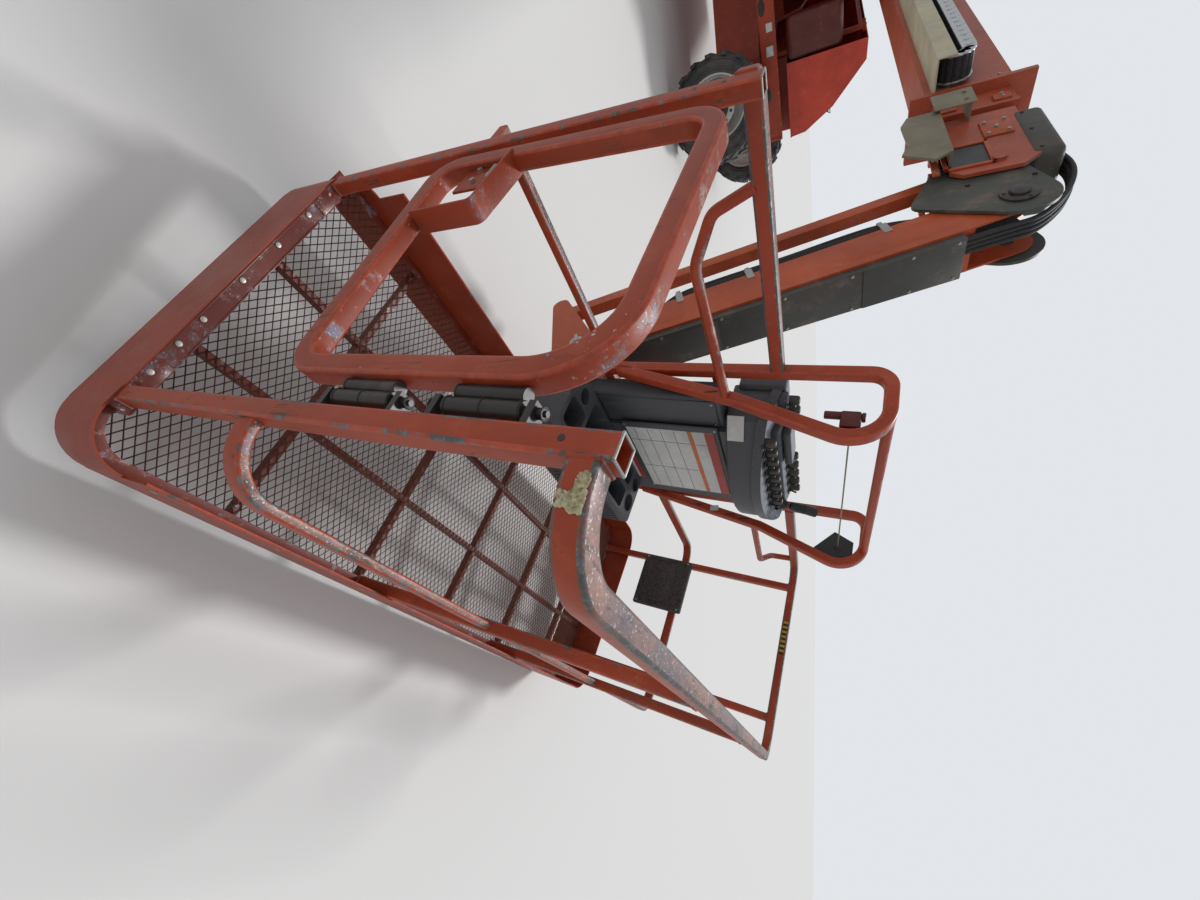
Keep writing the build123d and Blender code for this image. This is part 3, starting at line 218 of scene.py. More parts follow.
def add_section(bm, centre, along, across, width, depth, corner):
    """A rectangle with rounded corners, square to a direction: the start of a bar."""
    across = Vector(across).normalized()
    third = Vector(along).normalized().cross(across)
    place = Matrix((across * width, third * depth, Vector(along).normalized())).transposed().to_4x4()
    place.translation = Vector(centre)
    made = bmesh.ops.create_grid(bm, x_segments=1, y_segments=1, size=0.5, matrix=place)
    round_off(bm, made["verts"], corner, 3, "VERTICES")
    near = [item for item in bm.faces if (item.calc_center_median() - Vector(centre)).length < 1.0]
    return max(near, key=lambda item: len(item.verts))


def sweep(bm, face, points, radii, steps, closed=False):
    """Draws a section out along straight runs and round bends."""
    runs = [end - start for start, end in zip(points, points[1:])]
    angles = [one.angle(two) for one, two in zip(runs, runs[1:])]
    trims = [radius * math.tan(angle / 2) for radius, angle in zip(radii, angles)]
    ring = list(face.edges)
    if closed:
        bmesh.ops.delete(bm, geom=[face], context="FACES_ONLY")
    for k, run in enumerate(runs):
        way = run.normalized()
        trim = (trims[k - 1] if k else 0.0) + (trims[k] if k < len(trims) else 0.0)
        made = bmesh.ops.extrude_edge_only(bm, edges=ring)["geom"]
        verts = [item for item in made if isinstance(item, bmesh.types.BMVert)]
        bmesh.ops.translate(bm, verts=verts, vec=way * (run.length - trim))
        new = set(verts)
        ring = [item for item in made if isinstance(item, bmesh.types.BMEdge) and set(item.verts) <= new]
        if k < len(trims):
            axis = way.cross(runs[k + 1]).normalized()
            centre = points[k + 1] - way * trims[k] + axis.cross(way) * radii[k]
            made = bmesh.ops.spin(
                bm, geom=verts + ring, cent=centre, axis=axis, dvec=(0, 0, 0), angle=angles[k],
                steps=steps, use_merge=False, use_duplicate=False,
            )["geom_last"]
            ring = [item for item in made if isinstance(item, bmesh.types.BMEdge)]
    if closed:
        bmesh.ops.remove_doubles(bm, verts=bm.verts, dist=0.02)
    else:
        bmesh.ops.edgeloop_fill(bm, edges=ring)


def add_tube(bm, points, radii, width, depth, across, corner=5.0, steps=10, closed=False):
    """A bar of rounded rectangular section along a bent route; its rounded edges get the second material."""
    points = [Vector(point) for point in points]
    across = Vector(across).normalized()
    before = set(bm.faces)
    face = add_section(bm, points[0], points[1] - points[0], across, width, depth, corner)
    sweep(bm, face, points, radii, steps, closed)
    bm.normal_update()
    for face in set(bm.faces) - before:
        if 0.15 < abs(face.normal.dot(across)) < 0.985:
            face.material_index = 1


def add_pipe(bm, points, radii, radius, steps=10, sides=14):
    """A round bar along a bent route."""
    points = [Vector(point) for point in points]
    turn = (points[1] - points[0]).to_track_quat("Z", "Y").to_matrix().to_4x4()
    place = Matrix.Translation(points[0]) @ turn
    made = bmesh.ops.create_circle(bm, cap_ends=True, segments=sides, radius=radius, matrix=place)
    sweep(bm, made["verts"][0].link_faces[0], points, radii, steps)


def add_post(bm, x, y, low, high, wall=0.0):
    """An upright square tube, open and hollow at its top where it has a wall."""
    add_tube(bm, [(x, y, low), (x, y, high)], [], TUBE, TUBE, (1, 0, 0))
    if wall:
        near = [face for face in bm.faces if all(vert.co.z > high - 0.01 for vert in face.verts)]
        near = [face for face in near if (face.calc_center_median().xy - Vector((x, y))).length < TUBE / 2]
        top = max(near, key=lambda face: face.calc_area())
        bmesh.ops.inset_region(bm, faces=[top], thickness=wall, depth=0.0, use_even_offset=True)
        ring = list(top.edges)
        bmesh.ops.delete(bm, geom=[top], context="FACES_ONLY")
        made = bmesh.ops.extrude_edge_only(bm, edges=ring)["geom"]
        verts = [item for item in made if isinstance(item, bmesh.types.BMVert)]
        bmesh.ops.translate(bm, verts=verts, vec=(0, 0, -160))
        new = set(verts)
        foot = [item for item in made if isinstance(item, bmesh.types.BMEdge) and set(item.verts) <= new]
        bmesh.ops.edgeloop_fill(bm, edges=foot)


def finish_mesh(name, bm, material, place=None, smooth=0):
    """Makes the object of a bmesh drawn in a named frame, with its place in its mesh."""
    if place is not None:
        bmesh.ops.transform(bm, matrix=place, space=Matrix.Identity(4), verts=bm.verts)
    bmesh.ops.recalc_face_normals(bm, faces=bm.faces)
    mesh = bpy.data.meshes.new(name)
    bm.to_mesh(mesh)
    bm.free()
    piece = bpy.data.objects.new(name, mesh)
    bpy.context.scene.collection.objects.link(piece)
    materials = material if isinstance(material, (list, tuple)) else [material]
    for item in materials:
        mesh.materials.append(item)
    if smooth:
        for polygon in mesh.polygons:
            polygon.use_smooth = True
        mesh.set_sharp_from_angle(angle=math.radians(smooth))
    return piece


def bent_bar(name, routes, radius, material, place):
    """Smooth bars or hoses along routes of control points, made a mesh in one object."""
    curve = bpy.data.curves.new(name, "CURVE")
    curve.dimensions = "3D"
    curve.bevel_depth = radius
    curve.bevel_resolution = 3
    curve.use_fill_caps = True
    for points in routes:
        spline = curve.splines.new("NURBS")
        spline.points.add(len(points) - 1)
        for point, at in zip(spline.points, points):
            point.co = (*at, 1.0)
        spline.order_u = 3
        spline.use_endpoint_u = True
        spline.resolution_u = 8
    holder = bpy.data.objects.new(name + ".route", curve)
    bpy.context.scene.collection.objects.link(holder)
    bpy.context.view_layer.update()
    mesh = bpy.data.meshes.new_from_object(holder.evaluated_get(bpy.context.evaluated_depsgraph_get()))
    bpy.data.objects.remove(holder)
    bpy.data.curves.remove(curve)
    bm = bmesh.new()
    bm.from_mesh(mesh)
    bpy.data.meshes.remove(mesh)
    return finish_mesh(name, bm, material, place, smooth=50.0)


# Materials


class Nodes:
    """A node tree while it is put together. A value is a socket, a number or a colour."""

    def __init__(self, tree):
        self.tree = tree

    def node(self, kind, out, values, **settings):
        """Adds a node, sets its properties, fills its inputs and gives back one of its outputs."""
        made = self.tree.nodes.new("ShaderNode" + kind)
        for key, value in settings.items():
            setattr(made, key, value)
        for key, value in values.items():
            self.fill(made.inputs[key], value)
        return made.outputs[out]

    def fill(self, socket, value):
        if hasattr(value, "is_linked"):
            self.tree.links.new(value, socket)
        else:
            socket.default_value = (*value, 1.0) if socket.type == "RGBA" else value

    def ramp(self, value, low, high, start=0.0, end=1.0):
        """Maps a range of a value to another, clamped."""
        ends = {"From Min": low, "From Max": high, "To Min": start, "To Max": end}
        return self.node("MapRange", "Result", {"Value": value, **ends})

    def mix(self, factor, first, second):
        return self.node("Mix", 2, {0: factor, 6: first, 7: second}, data_type="RGBA")

    def maths(self, operation, first, second):
        return self.node("Math", 0, {0: first, 1: second}, operation=operation)

    def times(self, first, second):
        return self.maths("MULTIPLY", first, second)

    def plus(self, first, second):
        return self.maths("ADD", first, second)


class Finish(Nodes):
    """A material on the piece's own coordinates, with its scales in features per metre."""

    def __init__(self, name):
        self.material = bpy.data.materials.new(name)
        self.material.use_nodes = True
        super().__init__(self.material.node_tree)
        self.coords = self.node("TexCoord", "Object", {})
        self.shader = self.tree.nodes["Principled BSDF"]

    def noise(self, scale, detail=4.0, rough=0.6, stretch=None):
        coords = self.coords
        if stretch is not None:
            coords = self.node("Mapping", "Vector", {"Vector": coords, "Scale": stretch})
        values = {"Vector": coords, "Scale": scale, "Detail": detail, "Roughness": rough}
        return self.node("TexNoise", "Fac", values)

    def facing_up(self):
        """How far a surface faces up, from 0 to 1."""
        return self.node("SeparateXYZ", "Z", {0: self.node("NewGeometry", "Normal", {})})

    def scratches(self, scale, stretch, width):
        """Thin scratches that run along the axis with the smallest stretch."""
        value = self.maths("SUBTRACT", self.noise(scale, 3, 0.55, stretch=stretch), 0.5)
        return self.ramp(self.maths("ABSOLUTE", value, 0.0), width, width * 0.35)

    def done(self, base, rough, height, strength, distance, metal=None):
        """Fills the shader and gives back the material."""
        bump = self.node("Bump", "Normal", {"Height": height, "Strength": strength, "Distance": distance})
        for key, value in (("Base Color", base), ("Roughness", rough), ("Normal", bump), ("Metallic", metal)):
            if value is not None:
                self.fill(self.shader.inputs[key], value)
        return self.material


def shade(colour, factor):
    return tuple(part * factor for part in colour)


def paint(
    name, colour, wear, top_wear_and_sheen, grime, spots, rough=0.42, flakes=(0.060, 0.052, 0.048),
    top_colour=(0.235, 0.135, 0.110), scratch=0.0,
):
    """Old machine paint: faded patches, rust specks, chips to steel, rubbed tops tinted by a painted sky
    reflection, dirt and stray spots.
    """
    f = Finish(name)
    broad = f.noise(2.2, 5, 0.65)
    fine = f.noise(14, 6, 0.7)
    chips = f.noise(46, 8, 0.72)
    specks = f.noise(210, 3, 0.6)
    streaks = f.noise(9, 5, 0.6, stretch=(1.0, 1.0, 0.12))
    dark = shade(colour, 0.62)
    pale = (min(1.0, colour[0] * 1.10 + 0.015), colour[1] * 1.30 + 0.010, colour[2] * 1.4 + 0.006)
    base = f.mix(f.ramp(broad, 0.35, 0.68), dark, colour)
    base = f.mix(f.ramp(fine, 0.52, 0.75, 0.0, 0.55), base, pale)
    base = f.mix(f.ramp(streaks, 0.55, 0.78, 0.0, 0.55 * grime), base, (0.15, 0.055, 0.030))
    dusty = f.ramp(f.times(broad, fine), 0.30, 0.46, 0.0, grime * 0.55)
    base = f.mix(dusty, base, (0.27, 0.17, 0.12))
    rusty = f.times(f.ramp(specks, 0.66, 0.70), f.ramp(fine, 0.42, 0.60))
    base = f.mix(f.times(rusty, min(1.0, 0.35 + wear)), base, (0.085, 0.035, 0.022))
    level = 0.74 - 0.10 * wear
    mask = f.plus(f.times(chips, 0.72), f.times(fine, 0.32))
    mask = f.ramp(mask, level - 0.03, level + 0.005)
    if scratch:
        lines = f.scratches(24, (1.0, 1.0, 0.04), 0.012 * scratch)
        lines = f.times(lines, f.ramp(fine, 0.50, 0.56))
        mask = f.maths("MAXIMUM", mask, lines)
    steel = f.mix(f.ramp(fine, 0.4, 0.62), flakes, (0.14, 0.07, 0.045))
    base = f.mix(mask, base, steel)
    shine = f.times(mask, 0.35)
    # Faces that look up get patches of real worn steel, tinted mauve and blue by a painted reflection of the
    # sky
    if top_wear_and_sheen:
        up = f.ramp(f.facing_up(), 0.35, 0.75)
        rubbed = f.plus(f.times(fine, 0.6), f.times(chips, 0.5))
        rubbed = f.ramp(rubbed, 0.64 - 0.36 * top_wear_and_sheen, 0.70 - 0.34 * top_wear_and_sheen)
        up = f.times(up, rubbed)
        long = f.noise(30, 6, 0.75, stretch=(0.25, 1.0, 1.0))
        worn_top_and_light = f.mix(f.ramp(chips, 0.38, 0.60), top_colour, shade(top_colour, 1.5))
        worn_top_and_light = f.mix(f.ramp(broad, 0.46, 0.56, 0.0, 0.85), worn_top_and_light, (0.135, 0.125, 0.140))
        worn_top_and_light = f.mix(f.ramp(long, 0.53, 0.60, 0.0, 0.9), worn_top_and_light, (0.085, 0.060, 0.055))
        # Painted sky reflection: blue patches on the tops
        worn_top_and_light = f.mix(f.ramp(fine, 0.60, 0.66, 0.0, 0.8), worn_top_and_light, (0.16, 0.20, 0.30))
        worn_top_and_light = f.mix(f.ramp(specks, 0.60, 0.64), worn_top_and_light, (0.46, 0.45, 0.45))
        base = f.mix(up, base, worn_top_and_light)
        shine = f.maths("MAXIMUM", shine, f.times(up, 0.20))
    if spots:
        where = f.ramp(f.noise(7, 4, 0.6), 0.60 - 0.06 * spots, 0.64 - 0.06 * spots)
        flecks = f.noise(88, 4, 0.62, stretch=(0.45, 1.0, 1.0))
        size = f.ramp(flecks, 0.655 - 0.03 * spots, 0.675 - 0.03 * spots)
        tint = f.ramp(f.noise(21, 2, 0.5), 0.50, 0.53)
        splash = f.mix(tint, (0.46, 0.45, 0.45), (0.15, 0.21, 0.36))
        base = f.mix(f.times(size, where), base, splash)
    gloss = f.mix(mask, (rough,) * 3, (0.62,) * 3)
    gloss = f.mix(f.ramp(fine, 0.4, 0.7, 0.0, 0.5), gloss, (rough + 0.22,) * 3)
    f.shader.inputs["Specular IOR Level"].default_value = 0.35
    height = f.maths("SUBTRACT", f.times(fine, 0.25), f.times(mask, 0.55))
    return f.done(base, gloss, height, 0.5, 0.0012, metal=shine)


def worn_edge(name, colour, amount):
    """A corner rubbed through: dark steel and silver between what is left of the paint."""
    f = Finish(name)
    fine = f.noise(9, 6, 0.7)
    chips = f.noise(52, 7, 0.7)
    mask = f.plus(f.times(fine, 0.55), f.times(chips, 0.45))
    mask = f.ramp(mask, 0.63 - 0.22 * amount, 0.66 - 0.22 * amount)
    silver = f.ramp(chips, 0.50, 0.60)
    steel = f.mix(silver, (0.068, 0.068, 0.064), (0.19, 0.185, 0.185))
    base = f.mix(f.ramp(chips, 0.40, 0.60), shade(colour, 0.8), shade(colour, 1.15))
    base = f.mix(mask, base, steel)
    height = f.maths("SUBTRACT", f.times(chips, 0.3), mask)
    metal = f.times(f.times(mask, silver), 0.7)
    return f.done(base, f.ramp(mask, 0.0, 1.0, 0.40, 0.50), height, 0.45, 0.0008, metal=metal)


def foam(name):
    """Hard old foam: yellow-grey, pitted."""
    f = Finish(name)
    lumps = f.noise(120, 5, 0.7)
    broad = f.noise(30, 4, 0.6)
    base = f.mix(f.ramp(lumps, 0.35, 0.62), (0.20, 0.15, 0.075), (0.50, 0.44, 0.26))
    base = f.mix(f.ramp(broad, 0.45, 0.7, 0.0, 0.6), base, (0.60, 0.57, 0.42))
    return f.done(base, f.ramp(lumps, 0.3, 0.7, 0.75, 0.95), lumps, 0.9, 0.002)


def rubber(name, colour, dust):
    """Tyre rubber with pale dust in its hollows."""
    f = Finish(name)
    broad = f.noise(4, 5, 0.65)
    fine = f.noise(60, 6, 0.7)
    base = f.mix(f.ramp(fine, 0.35, 0.7), colour, shade(colour, 1.9))
    base = f.mix(f.ramp(broad, 0.45, 0.75, 0.0, dust), base, (0.17, 0.15, 0.125))
    return f.done(base, f.ramp(broad, 0.3, 0.7, 0.62, 0.9), fine, 0.35, 0.0012)


def bare_metal(name, colour, rough, rust):
    """Worn bare metal with rust in patches."""
    f = Finish(name)
    broad = f.noise(7, 5, 0.65)
    fine = f.noise(70, 6, 0.7)
    base = f.mix(f.ramp(fine, 0.3, 0.7), shade(colour, 0.72), colour)
    mask = f.plus(f.times(broad, 0.7), f.times(fine, 0.3))
    mask = f.ramp(mask, 0.62 - 0.16 * rust, 0.72 - 0.12 * rust)
    base = f.mix(f.times(mask, min(1.0, rust * 2.2)), base, (0.17, 0.075, 0.04))
    gloss = f.ramp(f.plus(mask, f.times(fine, 0.3)), 0.0, 1.2, rough, 0.8)
    return f.done(base, gloss, fine, 0.25, 0.0006, metal=f.ramp(mask, 0.0, 1.0, 0.92, 0.25))


def plastic(name, colour, rough=0.5, dust=0.35):
    """Moulded plastic with a fine grain and dust."""
    f = Finish(name)
    broad = f.noise(6, 5, 0.65)
    fine = f.noise(180, 3, 0.6)
    scuff = f.noise(35, 6, 0.75, stretch=(1, 1, 0.25))
    base = f.mix(f.ramp(broad, 0.3, 0.7), shade(colour, 0.8), shade(colour, 1.25))
    base = f.mix(f.ramp(scuff, 0.60, 0.72, 0.0, dust), base, (0.20, 0.19, 0.17))
    return f.done(base, f.ramp(broad, 0.3, 0.7, rough - 0.08, rough + 0.14), fine, 0.2, 0.0005)


def dusty(name, colour=(0.034, 0.036, 0.040), dust=(0.25, 0.27, 0.31)):
    """Dark plastic under a layer of pale dust that lies on what faces up."""
    f = Finish(name)
    broad = f.noise(16, 6, 0.7)
    fine = f.noise(90, 5, 0.7)
    up = f.ramp(f.facing_up(), 0.55, 0.95)
    cover = f.plus(f.times(broad, 0.65), f.times(fine, 0.35))
    cover = f.times(f.ramp(cover, 0.34, 0.56), up)
    base = f.mix(f.ramp(fine, 0.35, 0.7), colour, shade(colour, 1.6))
    base = f.mix(f.times(cover, 0.9), base, dust)
    return f.done(base, f.ramp(cover, 0.0, 1.0, 0.45, 0.85), fine, 0.25, 0.0006)


def mottled(name, colour=(0.022, 0.020, 0.021)):
    """Coarse black matting with worn brown patches."""
    f = Finish(name)
    cells = f.node("TexVoronoi", "Distance", {"Vector": f.coords, "Scale": 75})
    broad = f.noise(14, 6, 0.7)
    fine = f.noise(60, 5, 0.7)
    pits = f.ramp(cells, 0.15, 0.55)
    base = f.mix(pits, shade(colour, 0.5), shade(colour, 2.0))
    worn = f.plus(f.times(broad, 0.6), f.times(fine, 0.4))
    base = f.mix(f.ramp(worn, 0.46, 0.60, 0.0, 0.8), base, (0.085, 0.062, 0.055))
    return f.done(base, f.ramp(broad, 0.3, 0.7, 0.6, 0.85), f.plus(pits, fine), 0.8, 0.0025)


ORANGE = (0.40, 0.052, 0.014)
# For each finish, its maker and what it is given. For paint that is colour, wear, top wear with its painted
# sky reflection, grime and spots
MAKERS = {
    "rail_edge": (worn_edge, (0.20, 0.075, 0.055), 0.80),
    "post_edge": (worn_edge, ORANGE, 0.56),
    "rim_edge": (worn_edge, ORANGE, 0.40),
    "gate_edge": (worn_edge, (0.35, 0.048, 0.016), 0.22),
    "guard_edge": (worn_edge, ORANGE, 0.12),
    "toe_paint": (paint, (0.34, 0.046, 0.015), 0.45, 0.0, 0.5, 0.2, dict(rough=0.40)),
    # The sill's paint: the platform's orange darkened to painted shade, with a darker top colour that is
    # painted shade too
    "sill_paint": (paint, (0.17, 0.028, 0.018), 0.45, 0.25, 0.5, 0.35,
        dict(rough=0.30, top_colour=(0.12, 0.045, 0.040))),
    "floor_paint": (paint, (0.22, 0.036, 0.020), 0.5, 0.15, 0.7, 0.0),
    "guard_paint": (paint, ORANGE, 0.30, 0.30, 0.5, 0.15),
    "post_paint": (paint, ORANGE, 0.55, 0.8, 0.5, 0.25, dict(scratch=0.8)),
    # The head's dark grey-olive paint is partly painted shade, made dark for the shade the head sits in
    "head_paint": (paint, (0.070, 0.074, 0.062), 0.5, 0.3, 0.7, 0.0, dict(rough=0.5)),
    "front_steel": (paint, (0.080, 0.079, 0.070), 0.6, 0.2, 0.8, 0.0, dict(rough=0.48)),
    "olive": (paint, (0.235, 0.205, 0.135), 0.35, 0.1, 0.7, 0.0, dict(rough=0.5)),
    "dark_red": (paint, (0.115, 0.020, 0.016), 0.2, 0.1, 0.5, 0.0, dict(rough=0.38)),
    "old_foam": (foam,),
    "white_plate": (paint, (0.62, 0.62, 0.60), 0.15, 0.0, 0.25, 0.0,
        dict(rough=0.36, flakes=(0.30, 0.29, 0.27))),
    "red_band": (paint, (0.42, 0.040, 0.025), 0.3, 0.0, 0.3, 0.0, dict(rough=0.36, flakes=(0.5, 0.45, 0.42))),
    "orange_band": (paint, (0.60, 0.150, 0.025), 0.3, 0.0, 0.3, 0.0,
        dict(rough=0.36, flakes=(0.5, 0.45, 0.42))),
    "yellow_band": (paint, (0.52, 0.38, 0.03), 0.3, 0.0, 0.4, 0.0),
    "dusty_plastic": (dusty,),
    "dark_shine": (paint, (0.032, 0.028, 0.026), 0.35, 0.0, 0.5, 0.0,
        dict(rough=0.34, flakes=(0.12, 0.105, 0.09))),
    "switch_guard": (paint, (0.040, 0.036, 0.030), 0.5, 0.0, 0.4, 0.0,
        dict(rough=0.42, flakes=(0.16, 0.12, 0.07))),
    "platform_paint": (paint, ORANGE, 0.55, 0.0, 0.5, 0.3),
    "rail_paint": (paint, ORANGE, 0.70, 1.0, 0.55, 0.8),
    "gate_paint": (paint, (0.35, 0.048, 0.016), 0.35, 0.18, 0.45, 0.15, dict(scratch=0.5)),
    "boom_paint": (paint, (0.44, 0.085, 0.040), 0.35, 0.25, 0.6, 0.1),
    "jib_paint": (paint, (0.50, 0.085, 0.025), 0.55, 0.3, 0.6, 0.1),
    "hood_paint": (paint, (0.56, 0.055, 0.026), 0.05, 0.0, 0.25, 0.0, dict(rough=0.28)),
    "weight_paint": (paint, (0.38, 0.046, 0.016), 0.30, 0.2, 0.45, 0.1),
    "chassis_paint": (paint, (0.40, 0.055, 0.022), 0.4, 0.2, 0.8, 0.0, dict(rough=0.45)),
    "rim_paint": (paint, (0.62, 0.61, 0.57), 0.2, 0.0, 0.9, 0.0, dict(rough=0.45, flakes=(0.1, 0.08, 0.06))),
    "cream": (paint, (0.52, 0.47, 0.33), 0.25, 0.1, 0.6, 0.0, dict(rough=0.5)),
    "dark_paint": (paint, (0.045, 0.046, 0.048), 0.3, 0.2, 0.7, 0.0, dict(rough=0.5)),
    "tyre_rubber": (rubber, (0.021, 0.021, 0.022), 0.5),
    "hose_rubber": (rubber, (0.014, 0.014, 0.015), 0.15),
    "mesh_steel": (bare_metal, (0.15, 0.085, 0.062), 0.50, 0.60),
    "worn_steel": (bare_metal, (0.42, 0.41, 0.39), 0.36, 0.3),
    "bolt_steel": (bare_metal, (0.46, 0.44, 0.40), 0.4, 0.35),
    "rod_chrome": (bare_metal, (0.72, 0.72, 0.73), 0.12, 0.02),
    "carrier_metal": (bare_metal, (0.60, 0.61, 0.62), 0.34, 0.05),
    "console_plastic": (plastic, (0.050, 0.053, 0.059)),
    "black_plastic": (plastic, (0.012, 0.012, 0.013), 0.35, dict(dust=0.15)),
    "pad_rubber": (mottled,),
}
# The finishes made so far
MADE = {}


def look(name):
    """The named finish, made once."""
    if name not in MADE:
        maker, *values = MAKERS[name]
        words = values.pop() if values and isinstance(values[-1], dict) else {}
        MADE[name] = maker(name, *values, **words)
    return MADE[name]


# The finish of every CAD node
FINISHES = {
    "chassis_paint": ("chassis_frame", "axle_front", "axle_rear", "knuckle_left", "knuckle_right"),
    "dark_paint": ("steer_cylinder", "swing_bearing", "engine", "oil_tank", "ground_controls", "lift_barrel",
                   "jib_barrel"),
    "tyre_rubber": ("tyre_front_left", "tyre_front_right", "tyre_rear_left", "tyre_rear_right"),
    "rim_paint": ("rim_front_left", "rim_front_right", "rim_rear_left", "rim_rear_right"),
    "rod_chrome": ("tie_rod", "lift_rod", "jib_rod"),
    "weight_paint": ("counterweight", "turntable_uprights", "side_trays", "hood_hinges", "turntable_deck"),
    "hood_paint": ("hood_left", "hood_right"),
    "boom_paint": ("boom_base", "boom_mid", "boom_fly"),
    "cream": ("track_tray",),
    "olive": ("track_bracket",),
    "carrier_metal": ("hose_track",),
    "head_paint": ("head",),
    "jib_paint": ("jib_arm", "jib_link", "platform_support"),
    "platform_paint": ("platform_bracket",),
    "post_paint": ("posts",),
    "guard_paint": ("console_guard",),
    "toe_paint": ("toe_board",),
    # The sill takes paint darkened as painted shade
    "sill_paint": ("gate_sill",),
    "floor_paint": ("floor_frame",),
    "rail_paint": ("top_rails",),
    "gate_paint": ("gate",),
    "mesh_steel": ("floor_mesh",),
    "dark_shine": ("gate_hinges", "gate_barrels"),
    "console_plastic": ("console", "control_box", "tool_tray"),
    "pad_rubber": ("far_pad",),
}


def add_piece(name, bm, finishes, body="platform", place=PLATFORM, smooth=40.0):
    """Makes a piece of a bmesh, on its body. A second finish is for its edges."""
    names = [finishes] if isinstance(finishes, str) else finishes
    piece = finish_mesh(name, bm, [look(one) for one in names], place, smooth)
    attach(piece, body)
    return piece


class StageSettings(bpy.types.PropertyGroup):
    """The studio and the camera."""

    floor_grey: bpy.props.FloatProperty(
        name="Floor", description="Paleness of the floor and backdrop", default=0.70, min=0.0, max=1.0)
    key_strength: bpy.props.FloatProperty(
        name="Key light", description="Strength of the sun lamp", default=1.9, min=0.0)
    fill_strength: bpy.props.FloatProperty(
        name="Fill light", description="Strength of the world light", default=0.60, min=0.0)
    lens: bpy.props.FloatProperty(
        name="Lens", description="Focal length on a 36 mm sensor", default=14.421, min=1.0, unit="CAMERA")


class PlatformSettings(bpy.types.PropertyGroup):
    """The platform's floor and small parts, in millimetres."""

    mesh_long: bpy.props.FloatProperty(
        name="Diamond length", description="Long way of one opening of the expanded metal, in mm",
        default=36.0, min=10.0)
    mesh_short: bpy.props.FloatProperty(
        name="Diamond width", description="Short way of one opening of the expanded metal, in mm",
        default=23.0, min=6.0)
    strand: bpy.props.FloatProperty(
        name="Strand", description="Thickness of a strand, in mm", default=3.0, min=0.5)


class BOOMLIFT_OT_finishes(bpy.types.Operator):
    """Gives every CAD node its finish"""

    bl_idname = "boomlift.finishes"
    bl_label = "Finishes"

    def execute(self, context):
        done = set()
        for key, names in FINISHES.items():
            for name in names:
                piece = NODES[name]
                piece.data.materials.clear()
                piece.data.materials.append(look(key))
                done.add(name)
        missing = sorted(set(NODES) - done)
        if missing:
            raise RuntimeError("no finish for " + ", ".join(missing))
        return {"FINISHED"}


class BOOMLIFT_OT_floor(bpy.types.Operator):
    """Makes the expanded metal of the platform's floor and the strip round its edge"""

    bl_idname = "boomlift.floor"
    bl_label = "Platform floor"

    def execute(self, context):
        values = context.scene.boomlift_platform
        # A square grid turned by 45 degrees and stretched is the expanded metal's pattern
        low, high = OUTER + TOE_WALL + 2, INNER - TOE_WALL - 2
        count = int(2 * max(LENGTH / values.mesh_short, (high - low) / values.mesh_long))
        bm = bmesh.new()
        bmesh.ops.create_grid(bm, x_segments=count, y_segments=count, size=count / 2)
        bmesh.ops.rotate(bm, cent=(0, 0, 0), matrix=Matrix.Rotation(math.pi / 4, 3, "Z"), verts=bm.verts)
        root = math.sqrt(2)
        bmesh.ops.scale(bm, vec=(values.mesh_short / root, values.mesh_long / root, 1), verts=bm.verts)
        bmesh.ops.translate(bm, vec=(LENGTH / 2, (low + high) / 2, 0), verts=bm.verts)
        inset = TOE_WALL + 2
        for point, way in self.outline(inset, low, high, 100.0):
            bmesh.ops.bisect_plane(
                bm, geom=bm.verts[:] + bm.edges[:] + bm.faces[:], dist=0.001, plane_co=point,
                plane_no=way, clear_outer=True,
            )
        bmesh.ops.translate(bm, vec=(0, 0, MESH_TOP - 2.5), verts=bm.verts)
        bmesh.ops.wireframe(
            bm, faces=bm.faces[:], thickness=values.strand, offset=0.0, use_replace=True,
            use_boundary=True, use_even_offset=True, use_relative_offset=False, use_crease=False,
        )
        for vert in bm.verts:
            vert.co.z = max(min(vert.co.z, MESH_TOP), MESH_TOP - 5.0)
        piece = add_piece("expanded_floor", bm, "mesh_steel", smooth=0)
        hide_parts("floor_mesh")

        bm = bmesh.new()
        route = self.edge_route(inset, low, high, 14.0)
        add_tube(bm, route, [90] * 3, 3.0, 26.0, (0, 0, 1), 1.0, 8)
        add_piece("floor_edge_strip", bm, ("floor_paint", "floor_paint"))
        return {"FINISHED"}

    def outline(self, inset, low, high, corner):
        """Planes that cut the floor's plan out, with short chords at its corners."""
        cuts = [
            ((inset, 0, 0), (-1, 0, 0)), ((LENGTH - inset, 0, 0), (1, 0, 0)),
            ((0, low, 0), (0, -1, 0)), ((0, high, 0), (0, 1, 0)),
        ]
        for sx, sy in ((-1, -1), (1, -1), (1, 1), (-1, 1)):
            for turn in (22.5, 45.0, 67.5):
                way = Vector((sx * math.cos(math.radians(turn)), sy * math.sin(math.radians(turn)), 0))
                cx = inset + corner if sx < 0 else LENGTH - inset - corner
                cy = low + corner if sy < 0 else high - corner
                cuts.append((Vector((cx, cy, 0)) + way * corner, way))
        return cuts

    def edge_route(self, inset, low, high, inward):
        """The way of the strip that holds the mesh's edge, round the floor and back."""
        z = MESH_TOP + 1.5
        x0, x1 = inset + inward, LENGTH - inset - inward
        y0, y1 = low + inward, high - inward
        return [(x0 + 40, y1, z), (x1, y1, z), (x1, y0, z), (x0, y0, z), (x0, y1, z)]


